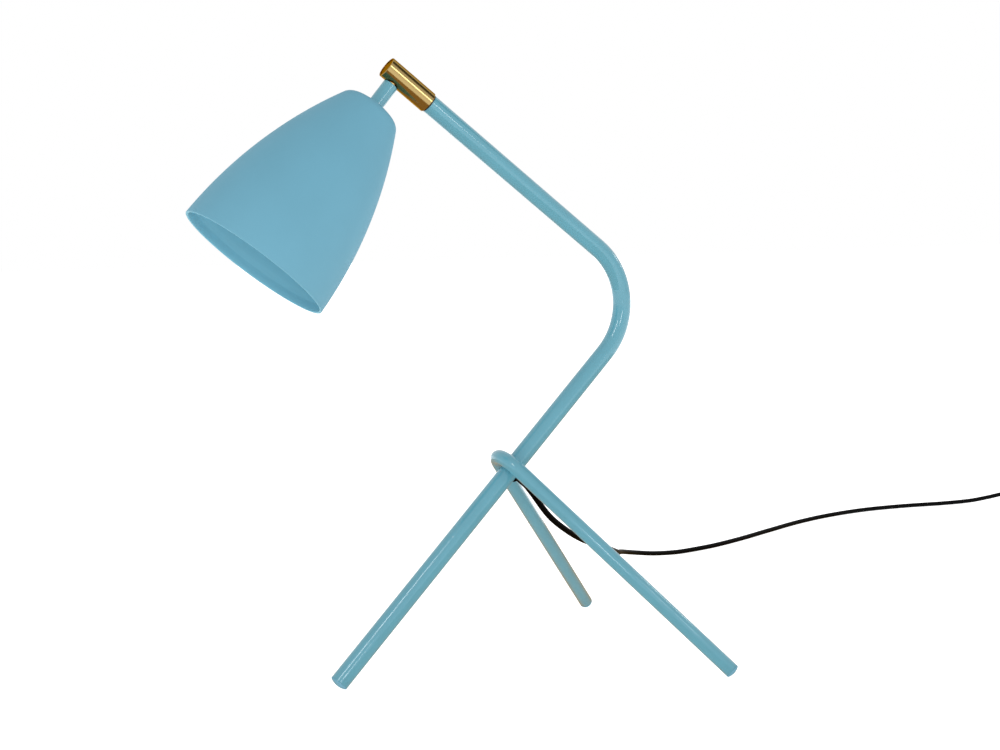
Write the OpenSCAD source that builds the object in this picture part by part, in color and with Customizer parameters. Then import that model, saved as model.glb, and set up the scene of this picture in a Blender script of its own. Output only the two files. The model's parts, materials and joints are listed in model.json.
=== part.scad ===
// Tripod table lamp.
//
// One bent tube makes the front leg, the bend and the arm. A hairpin of thinner tube wraps
// round it and makes the two rear legs. A brass sleeve turns on a spindle in the arm's end
// and carries the stem, the spun shade and the lampholder. The flex runs inside the main
// tube and comes out between the rear legs.
//
// Millimetres, +Z up, standing on z = 0. The origin is under the middle of the lamp's own
// outline, and XZ is its plane of symmetry. The arm reaches towards -X.

/* [Front leg and arm] */
// Outside diameter of the main tube
tube_d = 16; // [14:0.5:20]
// Wall of the main tube
tube_wall = 1.2; // [1:0.1:1.6]
// Slope of the front leg above the table, in degrees
leg_angle = 45.75; // [43:0.25:49]
// Slope of the arm, in degrees
arm_angle = 38; // [34:0.5:42]
// Front leg, from the foot's tip to the corner where its axis meets the arm's
leg_len = 437.5; // [420:0.5:455]
// Arm, from that corner to the tube's end
arm_len = 265.5; // [250:0.5:280]
// Radius of the bend, on the tube's axis
bend_r = 62; // [50:1:90]

/* [Rear legs] */
// Outside diameter of the hairpin tube
rod_d = 12.7; // [11:0.1:15]
// Wall of the hairpin tube
rod_wall = 1.2; // [1:0.1:1.6]
// Distance of the rear feet's tips behind the front foot's tip, along X
rear_reach = 305; // [290:1:320]
// Distance between the rear feet's tips
rear_spread = 266; // [240:1:290]
// Where the hairpin crosses the front leg, from the foot's tip
crotch_at = 235; // [225:1:245]
// Radius of the hairpin's bend, on the tube's axis
hairpin_r = 22; // [20:0.5:26]

/* [Feet] */
// Rim of each foot plug that shows past its tube
plug_rim = 1.5; // [1:0.1:3]
// Crown of the front foot plug
front_dome = 2.2; // [1:0.1:3]
// Crown of each rear foot plug
rear_dome = 1.8; // [1:0.1:3]
// How deep the flat under each foot is cut
foot_flat = 0.5; // [0.3:0.05:0.8]
// How far a foot plug's shank goes into its tube
plug_depth = 14; // [8:1:20]

/* [Knuckle] */
// Outside diameter of the brass sleeve
knuckle_d = 18; // [17:0.5:22]
// Distance of the sleeve's far face from the arm's end
knuckle_len = 46; // [44:0.5:54]
// Diameter of the spindle that the sleeve turns on
spindle_d = 12; // [11.6:0.1:12.4]
// How far the spindle's shank goes into the arm
spindle_shank = 24; // [16:1:34]
// Thickness of the dark washer between the arm and the sleeve
washer_t = 0.8; // [0.5:0.1:1.5]
// How far the head turns each way from hanging straight, in degrees
swivel_limit = 90; // [45:5:95]
// Distance of the stop screw from the arm's end
stop_at = 12; // [10:0.5:15]

/* [Stem and shade] */
// Outside diameter of the stem
stem_d = 12.7; // [12.4:0.1:13.4]
// Wall of the stem
stem_wall = 1.2; // [1:0.1:1.3]
// Distance of the stem's axis from the arm's end
stem_at = 34.5; // [33:0.5:35]
// Slope of the stem and the shade, in degrees
stem_slope = 50; // [49:0.5:52]
// Distance from the arm's axis to the shade's crown, along the stem
shade_drop = 30.5; // [25:0.5:40]
// Diameter of the shade's mouth
shade_mouth_d = 129; // [122:1:136]
// Length of the shade
shade_len = 162.5; // [155:0.5:175]
// Draft of the shade's flank at the mouth, in degrees
shade_draft = 1.5; // [1:0.5:3]
// Radius of the shade's shoulder
shade_shoulder_r = 10; // [8:0.5:13]
// Diameter of the shade's crown, inside its shoulder
shade_crown_d = 41; // [36:0.5:46]
// How steeply the crown falls away from the stem, in degrees
crown_fall = 18.5; // [12:0.5:22]
// Diameter of the flat in the middle of the crown
shade_flat_d = 20; // [19:0.5:24]
// Wall of the spun shade
shade_wall = 1; // [0.8:0.1:1.4]
// Height of the folded hem inside the shade's mouth
hem_h = 3; // [2:0.5:6]

/* [Lampholder and bulb] */
// Diameter of the lampholder
holder_d = 27; // [26:0.5:30]
// Length of the lampholder's cap
holder_cap_h = 18; // [17:0.5:22]
// Length of the lampholder's skirt
holder_skirt_h = 26; // [24:0.5:30]
// Diameter of the bulb's screw cap
screw_cap_d = 13.9; // [13.6:0.1:14]
// Diameter of the bulb's globe
globe_d = 45; // [40:1:50]
// Overall length of the bulb
bulb_len = 80; // [76:1:90]

/* [Cord] */
// Diameter of the cord
cord_d = 5.4; // [5:0.1:6]
// How far below the hairpin the cord leaves the front leg
exit_drop = 3; // [1:0.5:11]
// Number of turns in the coil, half of them in each layer
coil_turns = 3; // [2:1:4]
// Radius of the coil's outer turn
coil_r = 33; // [32:0.5:36]

/* [Switch and plug] */
// Length of the switch on the cord
switch_len = 62; // [60:1:70]
// Width of the switch
switch_w = 27; // [25:1:32]
// Height of the switch's base shell
switch_base_h = 8.5; // [8:0.5:10]
// Height of the switch's cover
switch_cover_h = 8.5; // [8:0.5:11]
// Tilt of the rocker either side of level, in degrees
rocker_tilt = 7; // [5:0.5:9]
// Width of the plug's face
plug_w = 35; // [34:0.5:37]
// Thickness of the plug
plug_t = 13.8; // [13:0.1:15]
// Length of the plug's body
plug_len = 36; // [34:1:42]
// Diameter of a plug pin
pin_d = 4; // [3.9:0.05:4.1]
// Length of a plug pin outside the body
pin_len = 19; // [18:0.5:20]
// Distance between the plug pins
pin_pitch = 18.6; // [18:0.1:19.2]

/* [Fits] */
// Radial clearance where one piece turns in another
run_gap = 0.05; // [0.03:0.01:0.08]
// Radial clearance of a pressed or screwed seat
seat_gap = 0.03; // [0.02:0.01:0.05]
// Gap between pieces that move past each other
body_gap = 0.3; // [0.25:0.05:0.4]

/* [Hidden] */
$fn = 96;

// Colours
enamel = [0.43, 0.67, 0.77];
brass = [0.76, 0.60, 0.30];
steel = [0.72, 0.73, 0.75];
black = [0.06, 0.06, 0.07];
bakelite = [0.10, 0.09, 0.08];
ceramic = [0.92, 0.91, 0.88];
opal = [0.97, 0.96, 0.92];

// A length well past anything that is cut
over = 1;
// A block under the table, wider than the lamp
table_w = 800;
table_t = 40;
// How far a straight run reaches into a bend, so that the two are one solid
join = 0.02;
// The seam ring between the bend and the arm
seam_h = 0.3;
seam_t = 0.01;
seam_trim = 0.1;

// ---- Tubes
tube_r = tube_d / 2;
tube_bore = tube_r - tube_wall;
rod_r = rod_d / 2;
rod_bore = rod_r - rod_wall;
cord_r = cord_d / 2;

function unit(v) = v / norm(v);

// Height of a foot's tip when the lower edge of its rim is cut off flat on the table
function tip_height(r, dome, slope) = r * cos(slope) - dome * sin(slope) - foot_flat;

front_tip_z = tip_height(tube_r, front_dome, leg_angle);

// ---- Hairpin, measured from the front foot's tip along X
weld_gap = 0.2;
hairpin_off = tube_r + weld_gap + rod_r;
apex_x = crotch_at * cos(leg_angle) - hairpin_off * sin(leg_angle);
apex_z = front_tip_z + crotch_at * sin(leg_angle) + hairpin_off * cos(leg_angle);
half_spread = rear_spread / 2;

// Each takes the height of the rear feet's tips
function hairpin_depth(tip_z) = norm([rear_reach - apex_x, apex_z - tip_z]) - hairpin_r;
function hairpin_pitch(tip_z) = atan2(apex_z - tip_z, rear_reach - apex_x);
function hairpin_splay(tip_z) =
    let (depth = hairpin_depth(tip_z))
    atan2(half_spread, depth) - asin(hairpin_r / norm([depth, half_spread]));
function rear_slope(tip_z) = asin(cos(hairpin_splay(tip_z)) * sin(hairpin_pitch(tip_z)));
function rear_tip_height(slope) = tip_height(rod_r, rear_dome, slope);

rear_tip_z = rear_tip_height(rear_slope(rear_tip_height(rear_slope(0))));
pitch = hairpin_pitch(rear_tip_z);
splay = hairpin_splay(rear_tip_z);
rear_len = sqrt(pow(hairpin_depth(rear_tip_z), 2) + pow(half_spread, 2) - pow(hairpin_r, 2));

// ---- Where the lamp stands on X, so that the origin is under the middle of it
arm_reach = leg_len * cos(leg_angle) - (arm_len + stem_at) * cos(arm_angle);
mouth_low_x = arm_reach - (shade_drop + shade_len) * cos(stem_slope)
    - shade_mouth_d / 2 * sin(stem_slope);
rear_run = cos(splay) * cos(pitch);
foot_high_x = rear_reach - rear_dome * rear_run + rod_r * sqrt(1 - pow(rear_run, 2));
front_x = -(mouth_low_x + foot_high_x) / 2;

// ---- Places on the main tube
exit_at = crotch_at - exit_drop;
leg_dir = [cos(leg_angle), 0, sin(leg_angle)];
leg_inside = [-sin(leg_angle), 0, cos(leg_angle)];
arm_dir = [-cos(arm_angle), 0, sin(arm_angle)];
front_tip = [front_x, 0, front_tip_z];
corner = front_tip + leg_len * leg_dir;
arm_end = corner + arm_len * arm_dir;
setback = bend_r / tan((leg_angle + arm_angle) / 2);
bend_centre = corner - setback * leg_dir + bend_r * leg_inside;
bend_sweep = 180 - leg_angle - arm_angle;
leg_straight = leg_len - setback;
arm_straight = arm_len - setback;
stem_joint = arm_end + stem_at * arm_dir;
hairpin_centre = [front_x + apex_x, 0, apex_z] + hairpin_r * [cos(pitch), 0, -sin(pitch)];

// ---- Knuckle
spindle_r = spindle_d / 2;
spindle_len = stem_at + 6.4;
wire_bore = 3.6;
wire_slot_w = 7.2;
wire_slot_half = swivel_limit + asin(2.25 / wire_bore);
sleeve_r = knuckle_d / 2;
sleeve_bore = spindle_r + run_gap;
sleeve_from = washer_t + body_gap;
sleeve_chamfer = 0.4;
cap_r = 7.3;
cap_t = 2.2;
cap_sunk = 0.5;
cap_seat = knuckle_len - cap_sunk - cap_t;
screw_r = 2;
dog_r = 1.5;
dog_tip = spindle_r - 1.2;
stop_groove_r = dog_tip - body_gap;
stop_half = swivel_limit + asin((dog_r + run_gap) / dog_tip);
ring_at = stop_at + 8;
ring_w = 2;
ring_depth = 1;

// ---- Stem and crown
stem_r = stem_d / 2;
stem_bore = stem_r - stem_wall;
stem_lean = 90 - arm_angle - stem_slope;
stem_top = sleeve_r / cos(stem_lean) + stem_r * tan(abs(stem_lean)) + seat_gap;
nipple_r = 5;
nipple_bore = 2.6;
spigot_r = 4;
spigot_top = sleeve_bore + 0.2;
flat_r = shade_flat_d / 2;
crown_washer_r = flat_r - 1;
crown_washer_t = 1;
crown_nut_w = 17;
crown_nut_h = 4;

// ---- Shade outline: a flank of one arc, a tight shoulder and a low cone with a flat middle
mouth_r = shade_mouth_d / 2;
crown_r = shade_crown_d / 2;
crown_dir = [sin(crown_fall), cos(crown_fall)];
shoulder_centre = [crown_r, shade_len - (crown_r - flat_r) * tan(crown_fall)]
    - shade_shoulder_r * crown_dir;
shoulder_z = shoulder_centre[1];
flank_run = mouth_r - shoulder_centre[0];
flank_r = (pow(shoulder_z, 2) + pow(flank_run, 2) - pow(shade_shoulder_r, 2))
    / (2 * (flank_run * cos(shade_draft) - shoulder_z * sin(shade_draft) - shade_shoulder_r));
flank_centre = [mouth_r - flank_r * cos(shade_draft), -flank_r * sin(shade_draft)];
shoulder_dir = unit(shoulder_centre - flank_centre);
inner_mouth_r = mouth_r - shade_wall / cos(shade_draft);

// ---- Lampholder and bulb, measured down from the crown
washer_from = shade_wall + 0.12;
nut_from = washer_from + crown_washer_t;
holder_from = nut_from + crown_nut_h + 0.1;
skirt_from = holder_from + holder_cap_h;
nipple_end = holder_from + 6;
holder_r = holder_d / 2;
holder_wall = 1.8;
core_h = 6;
core_r = holder_r - holder_wall - seat_gap;
shell_t = 0.4;
shell_bore = screw_cap_d / 2 + 0.15;
shell_h = 17;
shell_from = skirt_from + core_h;
contact_gap = 2.2;
bulb_from = shell_from + contact_gap;
screw_cap_h = 17;
globe_r = globe_d / 2;
globe_wall = 0.9;
globe_neck_r = 9;
globe_from = bulb_from + screw_cap_h;
bulb_end = bulb_from - 1.2 + bulb_len;
globe_centre = bulb_end - globe_r;

// ---- Cord inside the lamp
flex_lay = tube_bore - cord_r - 0.1;
flex_turn_r = 2 * cord_d;
grommet_face = tube_r + 1.4;
grommet_r = 3.9;
grommet_flange_r = 5.2;
sheath_end = 19;
wire_r = 1;
wire_off = 1.15;
wire_turn_r = 3.4;

// ---- Cord on the table: its own points, from the grommet to the switch
relief_len = 22;
relief_r = 4.6;
relief_tip_r = 3.5;
exit_point = front_tip + exit_at * leg_dir - grommet_face * leg_inside;
exit_point_2 = exit_point - 14 * leg_inside;
switch_at = [1008, 336, 0];
cord_z = switch_base_h;
cord_hold = 5;
lead_end = switch_at + [cord_hold - switch_len / 2, 0, cord_z];
lead_route = concat([exit_point, exit_point_2], [
    [97, 1, 126], [117, 6, 109.5], [142, 21, 95], [175, 51, 81],
    [215, 100, 62], [255, 160, 43.5], [291, 218, 28.5], [325, 252, 17],
    [362, 268, 8.5], [404, 280, 3.4], [455, 290, 2.7], [503, 305, 2.7],
    [560, 327, 2.7], [622, 350, 2.7], [680, 364, 2.7], [740, 369, 2.7],
    [798, 363, 2.7], [850, 351, 2.7], [895, 341, 3.8], [925, 337, 6.4],
    [943, 336, 8.2]
], [lead_end - [cord_hold + relief_len, 0, 0], lead_end]);
// The coil lies beside the switch
turn_pitch = cord_d + 0.6;
coil_centre = [1058, 255, 0];
tie_t = 0.8;
coil_z = tie_t + 0.1 + cord_r;
coil_start = coil_centre + [coil_r, cord_d, coil_z];
coil_finish = coil_centre + [coil_r, -cord_d, coil_z + turn_pitch];
link_start = switch_at + [switch_len / 2 - cord_hold, 0, cord_z];
link_route = [
    link_start, link_start + [cord_hold, 0, 0], link_start + [cord_hold + relief_len, 0, 0],
    [1072, 333.5, 8], [1081, 325, 7], [1088, 312, 5.8], [1091, 296, 4.6],
    coil_start + [0, 20, 0.2], coil_start + [0, 8, 0], coil_start
];
plug_z = plug_t / 2;
boot_len = 24;
boot_from = coil_finish[1] - 25;
plug_from = boot_from - boot_len;
end_route = [
    coil_finish, coil_finish - [0, 6, 0],
    [coil_finish[0], coil_finish[1] - 13, (coil_finish[2] + plug_z) / 2],
    [coil_finish[0], coil_finish[1] - 20, plug_z], [coil_finish[0], boot_from - 8, plug_z],
    [coil_finish[0], plug_from - cord_hold, plug_z]
];

// ---- Switch
shell_wall = 1.8;
window_half = 10.7;
rocker_r = window_half - body_gap;
rocker_half_w = 6;
pivot_r = 1.5;
pivot_z = switch_base_h + switch_cover_h - 4;
cheek_t = 2.2;
crown_h = 4.2;
terminal_x = 12;
terminal_half = 3.5;

// ---- Plug
plug_tail_w = 15;
pin_root = 12;
pin_root_d = pin_d - 0.6;

// ---------------------------------------------------------------- swept tubes

// A smooth curve through the points p, with n steps from each to the next
function curve_point(a, b, c, d, t) =
    0.5 * (2 * b + (c - a) * t + (2 * a - 5 * b + 4 * c - d) * t * t
        + (3 * b - a - 3 * c + d) * t * t * t);
function curve(p, n) = concat(
    [for (i = [0 : len(p) - 2], k = [0 : n - 1])
        curve_point(p[max(i - 1, 0)], p[i], p[i + 1], p[min(i + 2, len(p) - 1)], k / n)],
    [p[len(p) - 1]]
);
function heading(p, i) = unit(p[min(i + 1, len(p) - 1)] - p[max(i - 1, 0)]);
function ring(at, along, side, r, n) =
    let (u = unit(cross(along, side)), v = cross(along, u))
    [for (k = [0 : n - 1]) at + r * (cos(360 * k / n) * u + sin(360 * k / n) * v)];

// A round tube along the points p, never parallel to side
module sweep(p, r, n, side = [0, 0, 1]) {
    last = len(p) - 1;
    points = [for (i = [0 : last]) each ring(p[i], heading(p, i), side, r, n)];
    wall = [for (i = [0 : last - 1], k = [0 : n - 1])
        let (a = i * n + k, b = i * n + (k + 1) % n) each [[a, a + n, b], [b, a + n, b + n]]];
    start = [for (k = [1 : n - 2]) [0, k, k + 1]];
    finish = [for (k = [1 : n - 2]) [last * n, last * n + k + 1, last * n + k]];
    polyhedron(points, concat(wall, start, finish));
}

// ---------------------------------------------------------------- frames

// The front leg: z up the leg from the foot's tip, x out of its underside
module on_leg() translate(front_tip) rotate([0, 90 - leg_angle, 0]) children();

// The arm: z out past its end, x out of its upper side
module on_arm() translate(arm_end) rotate([0, arm_angle - 90, 0]) children();

// The stem: z up the stem from the shade's crown
module on_crown()
    translate(stem_joint) rotate([0, 90 - stem_slope, 0]) translate([0, 0, -shade_drop])
        children();

// The hairpin's plane: x towards the rear feet from the middle of its bend
module on_hairpin() translate(hairpin_centre) rotate([0, pitch, 0]) children();

// One rear leg: z from the hairpin's bend to the foot's tip
module on_rear_leg(side)
    on_hairpin() rotate([0, 0, side * splay]) translate([0, side * hairpin_r, 0])
        rotate([0, 90, 0]) children();

module above_table()
    difference() {
        children();
        translate([-table_w / 2, -table_w / 2, -table_t]) cube([table_w, table_w, table_t]);
    }

// A straight wall of revolution
module pipe(r, bore, h)
    difference() {
        cylinder(r = r, h = h);
        translate([0, 0, -over]) cylinder(r = bore, h = h + 2 * over);
    }

// A slice of a ring, from -half to half degrees about +X
module sector(r, h, half)
    rotate([0, 0, -half]) rotate_extrude(angle = 2 * half) square([r, h]);

// ---------------------------------------------------------------- stand

// The main tube's own path as a solid of radius r, with the given extra at both ends.
// It is drawn about the bend's centre, z along the leg and x out of its underside. A seam
// ring, too thin to see, carries the bend over into the arm.
module main_path(r, extra) {
    leg_run = leg_straight - front_dome - plug_rim + extra;
    translate(bend_centre) rotate([0, 90 - leg_angle, 0]) {
        translate([bend_r, 0, -leg_run]) cylinder(r = r, h = leg_run + join);
        rotate([90, 0, 0]) rotate_extrude(angle = bend_sweep - seam_trim)
            translate([bend_r, 0]) circle(r = r);
        rotate([0, -bend_sweep, 0]) {
            translate([bend_r, 0, -seam_h]) cylinder(r = r + seam_t, h = 2 * seam_h);
            translate([bend_r, 0, seam_h / 3]) cylinder(r = r, h = arm_straight - seam_h / 3 + extra);
        }
    }
}

module main_tube() color(enamel)
    difference() {
        main_path(tube_r, 0);
        main_path(tube_bore, over);
        on_leg() translate([0, 0, exit_at]) rotate([0, 90, 0])
            cylinder(r = grommet_r + seat_gap, h = tube_r + over);
    }

module hairpin_path(r, extra) {
    on_hairpin() rotate([0, 0, 90 + splay]) rotate_extrude(angle = 180 - 2 * splay)
        translate([hairpin_r, 0]) circle(r = r);
    for (side = [-1, 1]) on_rear_leg(side) translate([0, 0, -join])
        cylinder(r = r, h = rear_len - rear_dome - plug_rim + join + extra);
}

module rear_legs() color(enamel)
    difference() {
        hairpin_path(rod_r, 0);
        hairpin_path(rod_bore, over);
    }

module leg_weld() color(enamel)
    difference() {
        on_leg() translate([-tube_r - weld_gap / 2, 0, crotch_at]) sphere(r = 4.6);
        main_path(tube_r, 0);
        hairpin_path(rod_r, 0);
    }

// A foot plug: z into its tube from the tip
module foot_plug(r, bore, dome) {
    dome_r = (r * r + dome * dome) / (2 * dome);
    head = dome + plug_rim;
    intersection() {
        cylinder(r = r, h = head);
        translate([0, 0, dome_r]) sphere(r = dome_r);
    }
    translate([0, 0, head]) pipe(bore - seat_gap, bore - 1.6, plug_depth);
}

module front_foot() color(enamel)
    above_table() on_leg() foot_plug(tube_r, tube_bore, front_dome);

module rear_feet() color(enamel)
    above_table() for (side = [-1, 1]) on_rear_leg(side)
        translate([0, 0, rear_len]) mirror([0, 0, 1]) foot_plug(rod_r, rod_bore, rear_dome);

module arm_spindle() color(steel) on_arm()
    difference() {
        union() {
            translate([0, 0, -spindle_shank])
                cylinder(r = tube_bore - seat_gap, h = spindle_shank);
            translate([0, 0, -over]) cylinder(r = spindle_r, h = spindle_len + over);
        }
        translate([0, 0, -spindle_shank - over])
            cylinder(r = wire_bore, h = spindle_shank + over + stem_at + wire_slot_w / 2 + over);
        // the slot through which the wires turn down into the stem
        translate([0, 0, stem_at - wire_slot_w / 2]) rotate([0, 0, 180])
            sector(spindle_r + over, wire_slot_w, wire_slot_half);
        // the groove that the stop screw's tip runs in
        translate([0, 0, stop_at - dog_r - body_gap]) rotate([0, 0, 90])
            difference() {
                sector(spindle_r + over, 2 * (dog_r + body_gap), stop_half);
                translate([0, 0, -over]) cylinder(r = stop_groove_r, h = 20);
            }
        // the seat of the friction ring
        translate([0, 0, ring_at]) pipe(spindle_r + over, spindle_r - ring_depth, ring_w);
    }

module swivel_washer() color(black) on_arm()
    pipe(tube_r - 0.3, spindle_r + seat_gap, washer_t);

module friction_ring() color(opal) on_arm()
    translate([0, 0, ring_at + seat_gap])
        pipe(sleeve_bore - 0.02, spindle_r - ring_depth + seat_gap, ring_w - 2 * seat_gap);

module cord_grommet() color(black) on_leg() translate([0, 0, exit_at])
    difference() {
        union() {
            difference() {
                rotate([0, 90, 0]) cylinder(r = grommet_flange_r, h = grommet_face);
                translate([0, 0, -10]) cylinder(r = tube_r, h = 20);
            }
            rotate([0, 90, 0]) translate([0, 0, tube_bore - 1.2])
                cylinder(r = grommet_r, h = grommet_face - tube_bore + 1.2);
        }
        rotate([0, 90, 0]) cylinder(r = cord_r + 0.1, h = grommet_face + over);
    }

// The sheathed flex, from the grommet up the leg, round the bend and into the spindle
module inner_flex() color(black) {
    turn_x = flex_turn_r - flex_lay;
    lay_r = bend_r - flex_lay;
    sweep(concat(
        [leg_point(grommet_face, exit_at)],
        [for (a = [0 : 15 : 90])
            leg_point(turn_x - flex_turn_r * sin(a), exit_at + flex_turn_r * (1 - cos(a)))],
        [for (k = [0 : 12]) let (b = bend_sweep * k / 12)
            leg_point(lay_r * cos(b) - bend_r, leg_straight + lay_r * sin(b))],
        [arm_point(0, 0, -spindle_shank - 2), arm_point(0, 0, sheath_end)]
    ), cord_r, 12, [0, 1, 0]);
}
function leg_point(x, z) = front_tip + z * leg_dir - x * leg_inside;

// ---------------------------------------------------------------- knuckle and stem

module knuckle_sleeve() color(brass)
    difference() {
        on_arm() rotate_extrude() polygon([
            [0, sleeve_from], [sleeve_r - sleeve_chamfer, sleeve_from],
            [sleeve_r, sleeve_from + sleeve_chamfer], [sleeve_r, knuckle_len - sleeve_chamfer],
            [sleeve_r - sleeve_chamfer, knuckle_len], [0, knuckle_len]
        ]);
        on_arm() cylinder(r = sleeve_bore, h = knuckle_len + over);
        on_arm() translate([0, 0, cap_seat]) cylinder(r = cap_r + seat_gap, h = knuckle_len);
        on_arm() translate([0, 0, stop_at]) rotate([-90, 0, 0])
            cylinder(r = screw_r + seat_gap, h = sleeve_r + over);
        on_crown() cylinder(r = spigot_r + seat_gap, h = shade_drop);
    }

module knuckle_cap() color(brass) on_arm() translate([0, 0, cap_seat]) rotate_extrude()
    polygon([[0, 0], [cap_r, 0], [cap_r, cap_t - 0.4], [cap_r - 0.4, cap_t], [0, cap_t]]);

module stop_screw() color(steel) on_arm() translate([0, 0, stop_at]) rotate([-90, 0, 0])
    difference() {
        union() {
            translate([0, 0, dog_tip]) cylinder(r = dog_r, h = sleeve_r - dog_tip - over);
            translate([0, 0, sleeve_bore + 0.1])
                cylinder(r = screw_r, h = sleeve_r - sleeve_bore - 0.4);
        }
        translate([0, 0, sleeve_r - 1.6]) cylinder(r = 1.1, h = 3, $fn = 6);
    }

module stem_nipple() color(brass) on_crown()
    difference() {
        union() {
            translate([0, 0, -nipple_end])
                cylinder(r = nipple_r, h = nipple_end + shade_drop - stem_top - 0.1);
            cylinder(r = spigot_r, h = shade_drop - spigot_top);
        }
        translate([0, 0, -nipple_end - over])
            cylinder(r = nipple_bore, h = nipple_end + shade_drop);
    }

module stem_tube() color(enamel) on_crown()
    difference() {
        rotate_extrude() polygon([
            [0, 0], [stem_r, 0], [stem_r, shade_drop - stem_top - 0.5],
            [stem_r - 0.5, shade_drop - stem_top], [0, shade_drop - stem_top]
        ]);
        translate([0, 0, -over]) cylinder(r = stem_bore, h = shade_drop);
    }

// ---------------------------------------------------------------- shade

// Half of the shade's outline, drawn in by inset
module shade_outline(inset) {
    reach = 2 * shade_shoulder_r;
    below = -2 * shade_shoulder_r;
    out = (mouth_r + reach - shoulder_centre[0]) / shoulder_dir[0];
    // the flank
    intersection() {
        translate(flank_centre) circle(r = flank_r - inset, $fn = 720);
        polygon([
            [0, below], [mouth_r + reach, below], shoulder_centre + out * shoulder_dir,
            shoulder_centre, [0, shoulder_z],
        ]);
    }
    // the shoulder
    intersection() {
        translate(shoulder_centre) circle(r = shade_shoulder_r - inset, $fn = 180);
        polygon([
            shoulder_centre, shoulder_centre + reach * shoulder_dir,
            shoulder_centre + reach * (shoulder_dir + crown_dir),
            shoulder_centre + reach * crown_dir,
        ]);
    }
    // the crown
    polygon([
        [0, shoulder_z], shoulder_centre,
        shoulder_centre + (shade_shoulder_r - inset) * crown_dir,
        [flat_r - inset * tan(crown_fall / 2), shade_len - inset], [0, shade_len - inset],
    ]);
}

module shade() color(enamel) on_crown() translate([0, 0, -shade_len])
    difference() {
        rotate_extrude()
            difference() {
                shade_outline(0);
                difference() {
                    shade_outline(shade_wall);
                    // the folded hem
                    translate([inner_mouth_r - shade_wall, -shade_shoulder_r])
                        square([mouth_r, shade_shoulder_r + hem_h]);
                }
                translate([-over, -shade_len]) square([2 * mouth_r, shade_len]);
            }
        translate([0, 0, shade_len - 3]) cylinder(r = nipple_r + 0.1, h = 5);
    }

module crown_washer() color(steel) on_crown()
    translate([0, 0, -washer_from - crown_washer_t])
        pipe(crown_washer_r, nipple_r + seat_gap, crown_washer_t);

module crown_nut() color(brass) on_crown() translate([0, 0, -nut_from - crown_nut_h])
    difference() {
        intersection() {
            cylinder(d = crown_nut_w / cos(30), h = crown_nut_h, $fn = 6);
            cylinder(r1 = crown_nut_w / 2 + 0.4, r2 = crown_nut_w / 2 + 2.4, h = crown_nut_h);
        }
        translate([0, 0, -over]) cylinder(r = nipple_r + seat_gap, h = crown_nut_h + 2 * over);
    }

// ---------------------------------------------------------------- lampholder and bulb

// z runs down from the crown in these, towards the mouth
module below_crown(t) on_crown() mirror([0, 0, 1]) translate([0, 0, t]) children();

module holder_cap() color(bakelite) below_crown(holder_from)
    difference() {
        rotate_extrude() polygon([
            [0, 0], [nipple_r + 2.4, 0], [nipple_r + 3, 0.6], [nipple_r + 3, 5],
            [holder_r - 1.4, 8], [holder_r, 9.6], [holder_r, holder_cap_h], [0, holder_cap_h]
        ]);
        translate([0, 0, -over]) cylinder(r = nipple_r + seat_gap, h = holder_cap_h);
        translate([0, 0, 10]) cylinder(r = holder_r - holder_wall, h = holder_cap_h);
        translate([0, 0, 6.2])
            cylinder(r1 = nipple_r + 0.6, r2 = holder_r - holder_wall, h = 3.8 + 0.01);
    }

module holder_skirt() color(bakelite) below_crown(skirt_from)
    difference() {
        rotate_extrude() polygon([
            [0, 0], [holder_r, 0], [holder_r, 3], [holder_r - 0.5, 3.6],
            [holder_r - 0.5, holder_skirt_h - 0.8], [holder_r - 1.3, holder_skirt_h],
            [0, holder_skirt_h]
        ]);
        translate([0, 0, -over]) cylinder(r = core_r + seat_gap, h = core_h + over);
        cylinder(r = core_r - 1.2, h = holder_skirt_h + over);
    }

terminal_y = 7;
terminal_head_r = 2.6;

module holder_core() color(ceramic) below_crown(skirt_from)
    difference() {
        cylinder(r = core_r, h = core_h);
        for (side = [-1, 1]) translate([0, side * terminal_y, -over])
            cylinder(r = 1.6, h = 4 + over);
        translate([0, 0, core_h - 1.4]) cylinder(r = 3.2, h = 2);
    }

module holder_shell() color(brass) below_crown(shell_from)
    pipe(shell_bore + shell_t, shell_bore, shell_h);

module centre_contact() color(brass) below_crown(skirt_from + core_h - 1.4) {
    cylinder(r = 2.9, h = 0.5);
    cylinder(r1 = 1.8, r2 = 1.2, h = contact_gap + 0.1);
}

module terminal_screws() color(steel) below_crown(skirt_from)
    for (side = [-1, 1]) translate([0, side * terminal_y, 0])
        difference() {
            union() {
                translate([0, 0, -1.9]) cylinder(r = terminal_head_r, h = 1.9);
                translate([0, 0, -0.5]) cylinder(r = 1.55, h = 4);
            }
            translate([-3, -0.3, -2.5]) cube([6, 0.6, 1.4]);
        }

// Two single wires side by side, from the sheath's end down the stem to the terminals
module core_wires() {
    turn_from = stem_at - wire_turn_r;
    in_arm = concat(
        [[0, sheath_end], [0, turn_from - 4]],
        [for (a = [0 : 15 : 90]) [wire_turn_r * (cos(a) - 1), turn_from + wire_turn_r * sin(a)]]
    );
    land_y = terminal_y - terminal_head_r - wire_r - 0.05;
    in_stem = [
        [wire_off, shade_drop - 8], [wire_off, 6], [wire_off, -nipple_end + 4],
        [wire_off + 0.2, -nipple_end - 0.5], [land_y - 0.4, -skirt_from + 5],
        [land_y, -skirt_from + 2.6], [land_y, -skirt_from]
    ];
    for (side = [-1, 1]) color(side > 0 ? [0.25, 0.35, 0.75] : [0.45, 0.28, 0.14])
        sweep(concat(
            [for (p = in_arm) arm_point(p[0], side * wire_off, p[1])],
            [for (p = in_stem) crown_point(side * p[0], p[1])]
        ), wire_r, 8, [0, 1, 0]);
}
function arm_point(x, y, z) =
    arm_end + z * arm_dir + x * [sin(arm_angle), 0, cos(arm_angle)] + [0, y, 0];
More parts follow.
